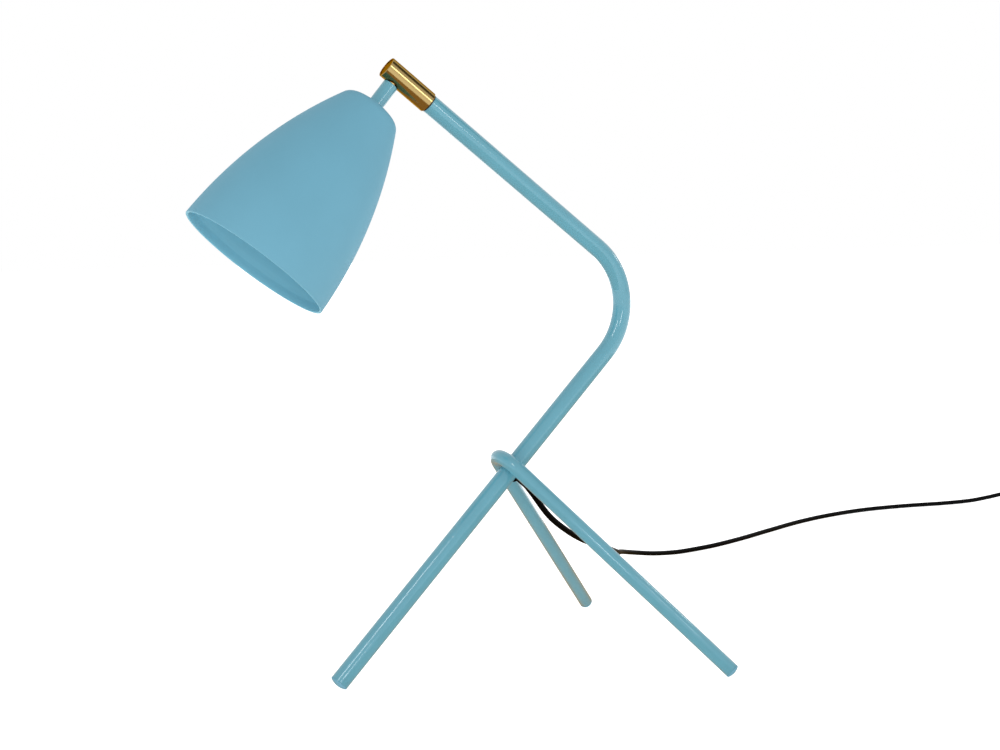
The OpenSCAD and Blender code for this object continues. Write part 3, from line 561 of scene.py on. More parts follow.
DRESSED: tuple[tuple[Finish, tuple[str, ...]], ...] = (
    (GLOSS_ENAMEL, ("main_tube", "rear_legs", "leg_weld")),
    (STEM_ENAMEL, ("stem_tube",)),
    (SHADE_COAT, ("shade",)),
    (FOOT_PLASTIC, ("front_foot", "rear_feet")),
    (POLISHED_BRASS, ("knuckle_sleeve", "knuckle_cap")),
    (TURNED_BRASS, ("stem_nipple", "crown_nut", "holder_shell", "centre_contact",
                    "bulb_contact", "switch_terminals", "switch_contact")),
    (TURNED_STEEL, ("arm_spindle", "stop_screw", "crown_washer", "terminal_screws",
                    "switch_screws")),
    (DARK_NYLON, ("swivel_washer",)),
    (PALE_NYLON, ("friction_ring",)),
    (SHEATH, ("cord_lead", "cord_link", "cord_coil", "cord_end", "inner_flex",
              "cord_grommet", "switch_reliefs", "plug_boot")),
    (STRAP, ("coil_tie",)),
    (FLEX_WIRES, ("core_wires",)),
    (SWITCH_WIRES, ("switch_wires",)),
    (PHENOLIC, ("holder_cap", "holder_skirt")),
    (CERAMIC, ("holder_core",)),
    (BULB_NICKEL, ("bulb_cap",)),
    (NICKEL, ("plug_pins",)),
    (OPAL, ("bulb_globe",)),
    (SPARKED, ("switch_base", "switch_cover", "plug_body")),
    (ROCKER_PLASTIC, ("switch_rocker",)),
)
NODE_FINISHES = {node: finish for finish, nodes in DRESSED for node in nodes}


# ------------------------------------------------------------------ meshes


def frame_of(origin: Vector, along: Vector, side: Vector) -> Matrix:
    """A frame with its z along one direction.

    Args:
        origin: Its origin, in millimetres.
        along: Direction of its z.
        side: Direction of its x, square to along.

    Returns:
        The matrix from that frame to the lamp's.
    """
    z = along.normalized()
    x = side.normalized()
    turned = Matrix((x, z.cross(x), z)).transposed().to_4x4()
    return Matrix.Translation(origin) @ turned


def rounded(corners: Profile, steps: int = 4) -> list[tuple[float, float]]:
    """Rounds the corners of a closed outline.

    Args:
        corners: Each corner's two coordinates and the radius of its rounding.
        steps: Chords in each rounding.

    Returns:
        The points of the rounded outline.
    """
    points: list[tuple[float, float]] = []
    for i, (x, y, radius) in enumerate(corners):
        here = Vector((x, y))
        before = (Vector(corners[i - 1][:2]) - here).normalized()
        after = (Vector(corners[(i + 1) % len(corners)][:2]) - here).normalized()
        half = before.angle(after) / 2
        if radius <= 0 or half > math.radians(88):
            points.append((x, y))
            continue
        reach = radius / math.tan(half)
        centre = here + (before + after).normalized() * (radius / math.sin(half))
        start, end = here + before * reach - centre, here + after * reach - centre
        turn = start.angle_signed(end)
        for k in range(steps + 1):
            spoke = start.copy()
            spoke.rotate(Matrix.Rotation(-turn * k / steps, 2))
            points.append(tuple(centre + spoke))
    return points


def new_object(name: str, data: bpy.types.ID) -> bpy.types.Object:
    """Puts a mesh, curve, light or camera in the scene as an object at the origin.

    Args:
        name: The object's name.
        data: What it shows.

    Returns:
        The object.
    """
    made = bpy.data.objects.new(name, data)
    bpy.context.scene.collection.objects.link(made)
    return made


def edges_object(name: str, points: Iterable[Sequence[float]], closed: bool) -> bpy.types.Object:
    """Makes a chain of edges, for a geometry tree to work on.

    Args:
        name: The object's name.
        points: The chain's points, in metres.
        closed: Whether its end joins its start.

    Returns:
        The object, with edges and no faces.
    """
    verts = [tuple(p) for p in points]
    edges = [(i, i + 1) for i in range(len(verts) - 1)]
    if closed:
        edges.append((len(verts) - 1, 0))
    mesh = bpy.data.meshes.new(name)
    mesh.from_pydata(verts, edges, [])
    return new_object(name, mesh)


def baked(source: bpy.types.Object, name: str, place: Matrix | None = None) -> bpy.types.Object:
    """Turns an object and its modifiers into a plain mesh object at the origin.

    Args:
        source: The object, which is removed.
        name: Name of the plain one.
        place: Frame that its mesh is moved to, in millimetres.

    Returns:
        The plain object, with its faces turned outwards and its sharp edges marked.
    """
    graph = bpy.context.evaluated_depsgraph_get()
    graph.update()
    mesh = bpy.data.meshes.new_from_object(source.evaluated_get(graph), depsgraph=graph)
    bpy.data.objects.remove(source)
    if place is not None:
        metres = place.copy()
        metres.translation *= MM
        mesh.transform(metres)
    mesh.name = name
    work = bmesh.new()
    work.from_mesh(mesh)
    bmesh.ops.remove_doubles(work, verts=work.verts, dist=1e-7)
    if work.calc_volume(signed=True) < 0:
        bmesh.ops.reverse_faces(work, faces=work.faces)
    work.to_mesh(mesh)
    work.free()
    mesh.shade_smooth()
    mesh.set_sharp_from_angle(angle=math.radians(38))
    return new_object(name, mesh)


class Tree(Enum):
    """The geometry trees that pieces are made with."""

    REVOLVE = "revolve a profile"
    SWEEP = "sweep a tube"
    RIB_RING = "ribs round an axis"

    def group(self) -> bpy.types.NodeTree:
        """Builds this tree, or gives back the one that was built.

        Returns:
            The node group.
        """
        known = bpy.data.node_groups.get(self.value)
        if known is not None:
            return known
        tree = bpy.data.node_groups.new(self.value, "GeometryNodeTree")
        add = tree.interface.new_socket
        add("Geometry", in_out="INPUT", socket_type="NodeSocketGeometry")
        add("Count", in_out="INPUT", socket_type="NodeSocketInt")
        add("Reach", in_out="INPUT", socket_type="NodeSocketFloat")
        add("Finish", in_out="INPUT", socket_type="NodeSocketMaterial")
        add("Geometry", in_out="OUTPUT", socket_type="NodeSocketGeometry")
        kit = NodeKit(tree)
        given = kit.node("NodeGroupInput", output="Geometry")
        whole = kit.node(
            "GeometryNodeRealizeInstances", inputs={"Geometry": self.shape(kit, given)}
        )
        dressed = kit.node(
            "GeometryNodeSetMaterial", inputs={"Geometry": whole, "Material": given["Finish"]}
        )
        kit.node("NodeGroupOutput", inputs={"Geometry": dressed})
        return tree

    def shape(self, kit: NodeKit, given: Sock) -> Sock:
        """Adds the nodes that make this tree's mesh.

        Args:
            kit: Adds nodes to the tree.
            given: The tree's own input.

        Returns:
            The mesh or instances.
        """
        count, reach = given["Count"], given["Reach"]
        if self in (Tree.REVOLVE, Tree.SWEEP):
            line = kit.node("GeometryNodeMeshToCurve", inputs={"Mesh": given})
            ring = kit.node(
                "GeometryNodeCurvePrimitiveCircle", inputs={"Resolution": count, "Radius": reach}
            )
            if self is Tree.SWEEP:
                return kit.node(
                    "GeometryNodeCurveToMesh", inputs={"Curve": line, "Profile Curve": ring}
                )
            level = kit.node(
                "GeometryNodeSetCurveNormal", {"mode": "Z_UP"}, {"Curve": ring}
            )
            turned = kit.node(
                "GeometryNodeCurveToMesh", inputs={"Curve": level, "Profile Curve": line}
            )
            return kit.node(
                "GeometryNodeMergeByDistance", inputs={"Geometry": turned, "Distance": 1e-6}
            )
        places = kit.node("GeometryNodeMeshCircle", inputs={"Vertices": count, "Radius": reach})
        angle = kit.node("GeometryNodeInputIndex") * math.tau / count
        turn = kit.node("ShaderNodeCombineXYZ", inputs={"Z": angle})
        return kit.node(
            "GeometryNodeInstanceOnPoints",
            inputs={"Points": places, "Instance": given, "Rotation": turn},
        )

    def apply(self, base: bpy.types.Object, count: int, reach: float, finish: Finish) -> None:
        """Puts this tree on an object, with its inputs set.

        Args:
            base: The object that holds the profile, path or rib.
            count: Sides or ribs.
            reach: Radius, in metres.
            finish: What the result is finished in.
        """
        group = self.group()
        modifier = base.modifiers.new(self.value, "NODES")
        modifier.node_group = group
        values = {"Count": count, "Reach": reach, "Finish": finish.material()}
        for item in group.interface.items_tree:
            if item.in_out == "INPUT" and item.name in values:
                modifier[item.identifier] = values[item.name]


def revolve(
    name: str,
    profile: Sequence[tuple[float, float]],
    finish: Finish,
    place: Matrix,
    closed: bool = True,
    sides: int = 96,
) -> bpy.types.Object:
    """Turns a profile about the z of a frame.

    Args:
        name: The object's name.
        profile: Radius and height of each point, in millimetres.
        finish: What it is finished in.
        place: The frame.
        closed: Whether the profile is a loop; otherwise its ends are on the axis.
        sides: How many sides a turn has.

    Returns:
        The turned piece.
    """
    reach = 1.0
    base = edges_object(name, [(r * MM - reach, -z * MM, 0) for r, z in profile], closed)
    Tree.REVOLVE.apply(base, sides, reach, finish)
    return baked(base, name, place)


def sweep(
    name: str, path: Sequence[Vector], radius: float, wall: float, finish: Finish
) -> bpy.types.Object:
    """Makes a tube along a path, with its ends deburred.

    Args:
        name: The object's name.
        path: The tube's axis, in millimetres.
        radius: Outside radius, in millimetres.
        wall: Wall, in millimetres.
        finish: What it is finished in.

    Returns:
        The tube.
    """
    base = edges_object(name, [p * MM for p in path], False)
    Tree.SWEEP.apply(base, TUBE_SIDES, radius * MM, finish)
    solid = base.modifiers.new("wall", "SOLIDIFY")
    solid.thickness = wall * MM
    solid.offset = -1
    edge = base.modifiers.new("deburred", "BEVEL")
    edge.width = DEBURRED * MM
    edge.segments = 2
    edge.angle_limit = math.radians(60)
    return baked(base, name)


def softened(node: str, name: str, width: float, finish: Finish) -> bpy.types.Object:
    """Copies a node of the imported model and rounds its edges.

    Args:
        node: The node.
        name: Name of the copy.
        width: Width of the rounding, in millimetres.
        finish: What it is finished in.

    Returns:
        The rounded copy, in plain mesh.
    """
    mesh = frame["nodes"][node].data.copy()
    work = bmesh.new()
    work.from_mesh(mesh)
    bmesh.ops.remove_doubles(work, verts=work.verts, dist=2e-6)
    bmesh.ops.dissolve_limit(
        work, angle_limit=math.radians(1), verts=work.verts, edges=work.edges
    )
    work.to_mesh(mesh)
    work.free()
    base = new_object(name + "_base", mesh)
    mesh.materials.clear()
    mesh.materials.append(finish.material())
    edge = base.modifiers.new("rounded", "BEVEL")
    edge.width = width * MM
    edge.segments = 3
    edge.angle_limit = math.radians(28)
    return baked(base, name)


def grid_object(
    name: str, rows: Sequence[Sequence[Vector]], finish: Finish, place: Matrix | None = None
) -> bpy.types.Object:
    """Makes a closed skin of rows of points, each row a ring and the rows a ring too.

    Args:
        name: The object's name.
        rows: The points, in millimetres.
        finish: What it is finished in.
        place: Frame that it is moved to.

    Returns:
        The skin.
    """
    across = len(rows[0])
    verts = [tuple(p * MM) for row in rows for p in row]
    faces = []
    for i in range(len(rows)):
        below, above = i * across, (i + 1) % len(rows) * across
        for k in range(across):
            after = (k + 1) % across
            faces.append((below + k, below + after, above + after, above + k))
    mesh = bpy.data.meshes.new(name)
    mesh.from_pydata(verts, [], faces)
    mesh.materials.append(finish.material())
    return baked(new_object(name + "_base", mesh), name, place)


def settle(
    piece: bpy.types.Object, body: Body, finish: Finish, *nodes: str
) -> bpy.types.Object:
    """Lets a piece ride on its body, for the nodes that it replaces.

    Args:
        piece: The piece.
        body: The body that it moves with.
        finish: Not used.
        nodes: The nodes that it stands for, if any.

    Returns:
        The same piece.
    """
    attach(piece, body.value)
    if nodes:
        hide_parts(*nodes)
    LOG.info("%s rides on %s and stands for %s", piece.name, body.value, nodes or "no node")
    return piece


def rounded_copy(
    node: str, name: str, width: float, finish: Finish, body: Body = Body.STAND
) -> bpy.types.Object:
    """Lets a copy of a node with rounded edges stand for it."""
    return settle(softened(node, name, width, finish), body, finish, node)


# ------------------------------------------------------------------ the lamp


@dataclass(frozen=True)
class Layout:
    """Sizes that several pieces share, in millimetres and degrees.

    Attributes:
        tube_r: Outside radius of the main tube, and rod_r of the rear legs.
        tube_wall: Wall of both tubes.
        leg_angle: Slope of the front leg, and arm_angle of the arm.
        leg_len: Front leg, and arm_len the arm, to the corner of their axes.
        hairpin_r: Radius of the rear legs' bend.
        rear_reach: Rear feet behind the front one, and rear_spread between them.
        crotch_at: Where the hairpin crosses the front leg.
        front_x: The front foot's tip along X.
        foot_flat: Depth of the flat under each foot.
        stem_at: Distance of the stem's axis from the arm's end.
        stem_slope: Slope of the stem.
        shade_drop: From the arm's axis to the shade's crown.
        plug_rim: Rim of a foot plug past its tube.
        front_dome: Crown of the front plug, and rear_dome of a rear one.
        weld_gap: Between the hairpin and the front leg.
    """

    tube_r: float = 8.0
    rod_r: float = 6.35
    tube_wall: float = 1.2
    leg_angle: float = 45.75
    arm_angle: float = ARM_SLOPE
    leg_len: float = 437.5
    arm_len: float = 265.5
    hairpin_r: float = 22.0
    rear_reach: float = 305.0
    rear_spread: float = 266.0
    crotch_at: float = 235.0
    front_x: float = -102.285
    foot_flat: float = 0.5
    stem_at: float = 34.5
    stem_slope: float = STEM_SLOPE
    shade_drop: float = 30.5
    plug_rim: float = 1.5
    front_dome: float = 2.2
    rear_dome: float = 1.8
    weld_gap: float = 0.2

    @property
    def leg_dir(self) -> Vector:
        """Up the front leg."""
        return Vector(slanted(self.leg_angle))

    @property
    def leg_inside(self) -> Vector:
        """Out of the front leg's upper side."""
        return Vector((-self.leg_dir.z, 0, self.leg_dir.x))

    @property
    def arm_dir(self) -> Vector:
        """Out along the arm."""
        return Vector(slanted(self.arm_angle, -1))

    @property
    def stem_dir(self) -> Vector:
        """Up the stem, from the shade to the arm."""
        return Vector(slanted(self.stem_slope))

    def tip_height(self, radius: float, dome: float, slope: float) -> float:
        """Height of a foot's tip that stands on its flat."""
        lean = math.radians(slope)
        return radius * math.cos(lean) - dome * math.sin(lean) - self.foot_flat

    @property
    def front_tip(self) -> Vector:
        """The tip of the front foot."""
        height = self.tip_height(self.tube_r, self.front_dome, self.leg_angle)
        return Vector((self.front_x, 0, height))

    @property
    def arm_end(self) -> Vector:
        """The middle of the arm's end."""
        return self.front_tip + self.leg_len * self.leg_dir + self.arm_len * self.arm_dir

    @property
    def on_leg(self) -> Matrix:
        """Frame of the front leg: z up it from the foot's tip."""
        return frame_of(self.front_tip, self.leg_dir, -self.leg_inside)

    @property
    def crown(self) -> Vector:
        """The middle of the shade's crown, on the stem's axis."""
        return self.arm_end + self.stem_at * self.arm_dir - self.shade_drop * self.stem_dir

    @property
    def stem_side(self) -> Vector:
        """Square to the stem, away from the lamp's front."""
        return Vector((self.stem_dir.z, 0, -self.stem_dir.x))

    @property
    def on_crown(self) -> Matrix:
        """Frame of the stem: z up it from the shade's crown."""
        return frame_of(self.crown, self.stem_dir, self.stem_side)

    @property
    def below_crown(self) -> Matrix:
        """Frame with z down from the shade's crown to its mouth."""
        return frame_of(self.crown, -self.stem_dir, self.stem_side)

    def hairpin(self) -> tuple[Matrix, float, float]:
        """The hairpin's plane, its splay in radians, and the length of a rear leg.

        Returns:
            The frame of its plane, the splay, and the length in millimetres.
        """
        off = self.tube_r + self.weld_gap + self.rod_r
        apex = self.crotch_at * self.leg_dir + off * self.leg_inside
        apex.z += self.front_tip.z
        half = self.rear_spread / 2

        def fit(tip_z: float) -> tuple[float, float, float]:
            """Pitch, splay and depth of the hairpin for that height of the rear tips.

            Args:
                tip_z: The height, in millimetres.

            Returns:
                Pitch and splay in radians, and the depth in millimetres.
            """
            run, rise = self.rear_reach - apex.x, apex.z - tip_z
            depth = math.hypot(run, rise) - self.hairpin_r
            splay = math.atan2(half, depth) - math.asin(self.hairpin_r / math.hypot(depth, half))
            return math.atan2(rise, run), splay, depth

        tip_z = 0.0
        for _ in range(2):
            pitch, splay, _depth = fit(tip_z)
            slope = math.degrees(math.asin(math.cos(splay) * math.sin(pitch)))
            tip_z = self.tip_height(self.rod_r, self.rear_dome, slope)
        pitch, splay, depth = fit(tip_z)
        towards = Vector((math.cos(pitch), 0, -math.sin(pitch)))
        centre = Vector((self.front_x + apex.x, 0, apex.z)) + self.hairpin_r * towards
        plane = frame_of(centre, Vector((math.sin(pitch), 0, math.cos(pitch))), towards)
        length = math.sqrt(depth**2 + half**2 - self.hairpin_r**2)
        return plane, splay, length

    def rear_leg(self, side: int) -> tuple[Vector, Vector]:
        """Where a rear leg leaves the bend, and its direction.

        Args:
            side: 1 for the far leg and -1 for the near one.

        Returns:
            The point, in millimetres, and the direction.
        """
        plane, splay, _length = self.hairpin()
        start = Vector((-math.sin(splay), side * math.cos(splay), 0)) * self.hairpin_r
        along = Vector((math.cos(splay), side * math.sin(splay), 0))
        return plane @ start, plane.to_3x3() @ along

    def hairpin_path(self) -> list[Vector]:
        """The rear legs' axis, from the far foot's plug to the near one's.

        Returns:
            The axis's points, in millimetres.
        """
        plane, splay, length = self.hairpin()
        run = length - self.rear_dome - self.plug_rim
        far, far_dir = self.rear_leg(1)
        near, near_dir = self.rear_leg(-1)
        steps = 48
        first, last = math.pi / 2 + splay, 3 * math.pi / 2 - splay
        bend = [
            plane @ (Vector((math.cos(a), math.sin(a), 0)) * self.hairpin_r)
            for a in (first + (last - first) * k / steps for k in range(steps + 1))
        ]
        return [far + run * far_dir, *bend, near + run * near_dir]


@dataclass
class Cords:
    """The two runs of cord, with the switch between them and the plug at the end.

    Attributes:
        radius: Radius of the cord, in millimetres.
        exit: Where the cord leaves the front leg, and exit_2 its next point.
        switch: The middle of the switch, on the table.
        switch_len: Length of the switch.
        level: Height of the cords where they enter the switch.
        hold: How far a cord reaches into a housing.
        relief: Length of a strain relief.
        link: The points between the switch's relief and the coil.
        coil: The middle of the coil, on the table.
        turns: Turns in the coil.
        turn_steps: Points in each turn.
        coil_r: Radius of its outer turn.
        pitch: From one turn to the next.
        plug_from: Where the plug's body starts along Y, and plug_z its height.
        boot_len: Length of the plug's boot.
        strap_half: Half the width and half the height of the strap's loop.
        strap_wide: Width of the strap's tape, and strap_thick its thickness.
        free: The lead's points between the leg and the switch.
    """

    radius: float = 2.7
    exit: tuple[float, float, float] = (66.335, 0.0, 163.129)
    exit_2: tuple[float, float, float] = (76.363, 0.0, 153.360)
    switch: tuple[float, float, float] = (1008.0, 336.0, 0.0)
    switch_len: float = 62.0
    level: float = 8.5
    hold: float = 5.0
    relief: float = 22.0
    link: tuple[tuple[float, float, float], ...] = (
        (1072, 333.5, 8), (1081, 325, 7), (1088, 312, 5.8),
    )
    coil: tuple[float, float, float] = (1058.0, 255.0, 3.6)
    turns: int = 3
    turn_steps: int = 24
    coil_r: float = 33.0
    pitch: float = 6.0
    plug_from: float = 200.6
    plug_z: float = 6.9
    boot_len: float = 24.0
    strap_half: tuple[float, float] = (6.8, 6.5)
    strap_wide: float = 9.0
    strap_thick: float = 0.8
    free: tuple[tuple[float, float, float], ...] = (
        (97, 1, 126), (117, 6, 109.5), (142, 21, 95), (175, 51, 81), (215, 100, 62),
        (255, 160, 43.5), (291, 218, 28.5), (325, 252, 17), (362, 268, 8.5),
        (404, 280, 3.4), (455, 290, 2.7), (503, 305, 2.7), (560, 327, 2.7), (622, 350, 2.7),
        (680, 364, 2.7), (740, 369, 2.7), (798, 363, 2.7), (850, 351, 2.7), (895, 341, 3.8),
        (925, 337, 6.4), (943, 336, 8.2),
    )

    @property
    def outer(self) -> float:
        """Where the coil's outer turn and the plug lie along X."""
        return self.coil[0] + self.coil_r

    def lead_points(self) -> list[Vector]:
        """The route from the front leg to the switch.

        Returns:
            The route's points, in millimetres.
        """
        near = self.switch[0] - self.switch_len / 2
        ends = [(near - self.relief, self.switch[1], self.level),
                (near + self.hold, self.switch[1], self.level)]
        return [Vector(p) for p in (self.exit, self.exit_2, *self.free, *ends)]

    def coil_point(self, turn: float) -> Vector:
        """A point of the coil, which spirals in below and out again on top.

        Args:
            turn: How many turns it is from the start.

        Returns:
            The point, in millimetres.
        """
        middle = self.turns / 2
        radius = self.coil_r - self.pitch * min(turn, self.turns - turn)
        rise = min(max(turn - middle + 0.25, 0) / 0.5, 1)
        height = self.pitch * rise * rise * (3 - 2 * rise)
        angle = -math.tau * turn
        return Vector(self.coil) + Vector(
            (radius * math.cos(angle), radius * math.sin(angle), height)
        )

    def tail_points(self) -> list[Vector]:
        """The route from the switch, round the coil and into the plug.

        Returns:
            The route's points, in millimetres.
        """
        far = self.switch[0] + self.switch_len / 2
        side, z = self.switch[1], self.level
        outer = self.outer
        start = self.coil[1] + 2 * self.radius
        end = self.coil[1] - 2 * self.radius
        low, high = self.coil[2], self.coil[2] + self.pitch
        lead_in = [
            (far - self.hold, side, z), (far, side, z), (far + self.relief, side, z),
            *self.link, (outer, 296, low + 1),
            (outer, start + 20, low + 0.2), (outer, start + 8, low), (outer, start, low),
        ]
        points = self.turn_steps * self.turns + 1
        coil = [self.coil_point(k / self.turn_steps) for k in range(points)]
        out = [
            (outer, end, high), (outer, end - 6, high),
            (outer, end - 13, (high + self.plug_z) / 2), (outer, end - 20, self.plug_z),
            (outer, end - 33, self.plug_z), (outer, self.plug_from - self.hold, self.plug_z),
        ]
        return [*map(Vector, lead_in), *coil, *map(Vector, out)]

    def run(self, name: str, points: Sequence[Vector]) -> tuple[bpy.types.Object, float]:
        """Makes a cord through its points.

        Args:
            name: The object's name.
            points: The route, in millimetres.

        Returns:
            The cord, and its length in metres.
        """
        data = bpy.data.curves.new(name, "CURVE")
        data.dimensions = "3D"
        data.bevel_depth = self.radius * MM
        data.bevel_resolution = 5
        data.resolution_u = 8
        data.use_fill_caps = True
        data.materials.append(SHEATH.material())
        spline = data.splines.new("BEZIER")
        spline.bezier_points.add(len(points) - 1)
        last = len(points) - 1
        for i, point in enumerate(points):
            before, after = points[max(i - 1, 0)], points[min(i + 1, last)]
            along = (after - before).normalized()
            left = point - along * (point - before).length / 3
            right = point + along * (after - point).length / 3
            left.z, right.z = max(left.z, self.radius), max(right.z, self.radius)
            knot = spline.bezier_points[i]
            knot.handle_left_type = knot.handle_right_type = "FREE"
            knot.co, knot.handle_left, knot.handle_right = point * MM, left * MM, right * MM
        knots = spline.bezier_points
        length = 0.0
        for a, b in zip(knots[:-1], knots[1:]):
            samples = interpolate_bezier(a.co, a.handle_right, b.handle_left, b.co, 24)
            length += sum((q - p).length for p, q in zip(samples[:-1], samples[1:]))
        return new_object(name, data), length

    def ribbed(self, length: float, wide: float) -> list[tuple[float, float]]:
        """Profile of a tapered sleeve with grooves round it.

        Args:
            length: Its length.
            wide: Radius where it leaves the housing.

        Returns:
            Radius and distance from the housing, in millimetres.
        """
        bore, narrow = self.radius + 0.08, 3.5
        grooves, groove_depth, least_wall, solid_end = 6, 0.75, 0.25, 3.0
        spacing = (length - 2 * solid_end) / grooves

        def at(z: float) -> float:
            """Outside radius at a distance from the housing."""
            return wide + (narrow - wide) * z / length

        outline: list[tuple[float, float, float]] = [(bore, 0, 0), (at(0), 0, 0.2)]
        for k in range(grooves):
            z = solid_end + (k + 0.3) * spacing
            deep = max(at(z) - groove_depth, bore + least_wall)
            outline += [(at(z), z, 0.15), (deep, z + 0.15, 0.1),
                        (deep, z + 0.45 * spacing, 0.1),
                        (at(z + 0.5 * spacing), z + 0.5 * spacing, 0.15)]
        outline += [(at(length), length, 0.25), (bore, length, 0)]
        return rounded(outline, 2)

    def sleeve(
        self, name: str, node: str, place: Matrix, length: float, wide: float
    ) -> bpy.types.Object:
        """Args:
            name: The piece's name.
            node: The node that it stands for.
            place: Frame with z out of the housing, along the cord.
            length: Its length.
            wide: Radius where it leaves the housing.

        Returns:
            The sleeve.
        """
        made = revolve(name, self.ribbed(length, wide), SHEATH, place, sides=40)
        return settle(made, Body.STAND, SHEATH, node)

    def relief_sleeve(self, name: str, sign: int) -> bpy.types.Object:
        """Makes the ribbed strain relief at the switch's end towards sign along X.

        Args:
            name: The piece's name.
            sign: -1 for the end that faces the lamp, and 1 for the other.

        Returns:
            The strain relief.
        """
        end = Vector((self.switch[0] + sign * self.switch_len / 2, self.switch[1], self.level))
        place = frame_of(end, Vector((sign, 0, 0)), Vector((0, 1, 0)))
        return self.sleeve(name, "switch_reliefs", place, self.relief, 4.6)

    def boot(self) -> bpy.types.Object:
        """Makes the ribbed boot behind the plug.

        Returns:
            The boot.
        """
        end = Vector((self.outer, self.plug_from, self.plug_z))
        place = frame_of(end, Vector((0, 1, 0)), Vector((1, 0, 0)))
        return self.sleeve("plug_boot_ribbed", "plug_boot", place, self.boot_len, 5.9)

    def strap(self) -> bpy.types.Object:
        """Makes the strap, a loop of tape round the coil's turns.

        Returns:
            The strap.
        """
        wide, high = self.strap_half
        half, worn = self.strap_wide / 2, self.strap_wide / 2 - 0.3
        middle = Vector((self.coil[0] - self.coil_r + self.pitch, self.coil[2] + self.pitch / 2))
        corners = ((-wide, -high, 3.2), (wide, -high, 3.2), (wide, high, 4.2), (-wide, high, 4.2))
        outline = rounded([(middle.x + x, middle.y + z, r) for x, z, r in corners], 8)
        rows = []
        for spot in map(Vector, outline):
            inner = spot + (middle - spot).normalized() * self.strap_thick
            rows.append([
                Vector((p.x, self.coil[1] + y, p.y))
                for p, y in ((spot, -worn), (spot, worn), (inner, half), (inner, -half))
            ])
        return settle(grid_object("coil_strap", rows, STRAP), Body.STAND, STRAP, "coil_tie")

    def build(self) -> None:
        base = rounded_copy("switch_base", "switch_shell_base", 0.7, SPARKED)
        cover = rounded_copy("switch_cover", "switch_shell_cover", 0.6, SPARKED)
        rocker = rounded_copy("switch_rocker", "rocker_cap", 0.5, ROCKER_PLASTIC, Body.ROCKER)
        plug = rounded_copy("plug_body", "plug_shell", 1.1, SPARKED)
        relief_in = self.relief_sleeve("switch_relief_in", -1)
        relief_out = self.relief_sleeve("switch_relief_out", 1)
        boot, strap = self.boot(), self.strap()

        lead, lead_length = self.run("cord_to_switch", self.lead_points())
        settle(lead, Body.STAND, SHEATH, "cord_lead")
        tail, tail_length = self.run("cord_to_plug", self.tail_points())
        settle(tail, Body.STAND, SHEATH, "cord_link", "cord_coil", "cord_end")
        tuple(self.tail_points()[0] * MM)
        LOG.info("cord: %.3f m to the switch and %.3f m to the plug", lead_length, tail_length)


@dataclass
class Stand:
    """The hairpin of rear legs and the foot plugs; the bent main tube is left as imported.

    Attributes:
        layout: The lamp's shared sizes.
        plug_depth: How far a foot plug goes into its tube.
        plug_wall: Wall of that part, and plug_fit its gap to the tube.
        crown_steps: Chords in the profile of its crown.
    """

    layout: Layout
    plug_depth: float = 14.0
    plug_wall: float = 1.6
    plug_fit: float = 0.03
    crown_steps: int = 14

    def foot_profile(self, radius: float, dome: float) -> list[tuple[float, float]]:
        """Profile of a foot plug, from its tip into its tube.

        Args:
            radius: Outside radius of the tube.
            dome: Height of the plug's crown.

        Returns:
            Radius and height of each point, in millimetres.
        """
        bore, soft = radius - self.layout.tube_wall, 0.5
        ball = (radius**2 + dome**2) / (2 * dome)
        edge = math.asin((radius - soft) / ball)
        turns = [edge * k / self.crown_steps for k in range(self.crown_steps + 1)]
        crown = [(ball * math.sin(a), ball * (1 - math.cos(a))) for a in turns]
        head = dome + self.layout.plug_rim
        snug, inner = bore - self.plug_fit, bore - self.plug_wall
        end = head + self.plug_depth
        rim = [(radius - 0.12, dome + 0.12), (radius, dome + 0.45), (radius, head - 0.3),
               (radius - 0.1, head - 0.09), (radius - 0.3, head)]
        return [*crown, *rim, (snug, head), (snug, end - soft), (bore - soft, end),
                (inner, end), (inner, head), (0, head)]

    def foot(self, name: str, place: Matrix, radius: float, dome: float) -> bpy.types.Object:
        """Makes a foot plug that stands on a flat worn under it.

        Args:
            name: The piece's name.
            place: Frame with z into the tube, from the tip.
            radius: Outside radius of the tube.
            dome: Height of the plug's crown.

        Returns:
            The plug.
        """
        profile = self.foot_profile(radius, dome)
        plug = revolve(name, profile, FOOT_PLASTIC, place, False, TUBE_SIDES)
        work = bmesh.new()
        work.from_mesh(plug.data)
        cut = bmesh.ops.bisect_plane(
            work, geom=[*work.verts, *work.edges, *work.faces], plane_co=(0, 0, 0),
            plane_no=(0, 0, 1), clear_inner=True,
        )
        rim = [e for e in cut["geom_cut"] if isinstance(e, bmesh.types.BMEdge)]
        bmesh.ops.edgeloop_fill(work, edges=rim)
        work.to_mesh(plug.data)
        work.free()
        return plug

    def build(self) -> None:
        """Makes the rear legs' tube and the feet."""
        lamp = self.layout
        legs = sweep("rear_legs_tube", lamp.hairpin_path(), lamp.rod_r, lamp.tube_wall,
                     GLOSS_ENAMEL)
        settle(legs, Body.STAND, GLOSS_ENAMEL, "rear_legs")
        front = self.foot("front_foot_plug", lamp.on_leg, lamp.tube_r, lamp.front_dome)
        settle(front, Body.STAND, FOOT_PLASTIC, "front_foot")
        length = lamp.hairpin()[2]
        for name, side in (("rear_foot_plug_near", -1), ("rear_foot_plug_far", 1)):
            start, along = lamp.rear_leg(side)
            place = frame_of(start + length * along, -along, along.cross(UP))
            foot = self.foot(name, place, lamp.rod_r, lamp.rear_dome)
            settle(foot, Body.STAND, FOOT_PLASTIC, "rear_feet")


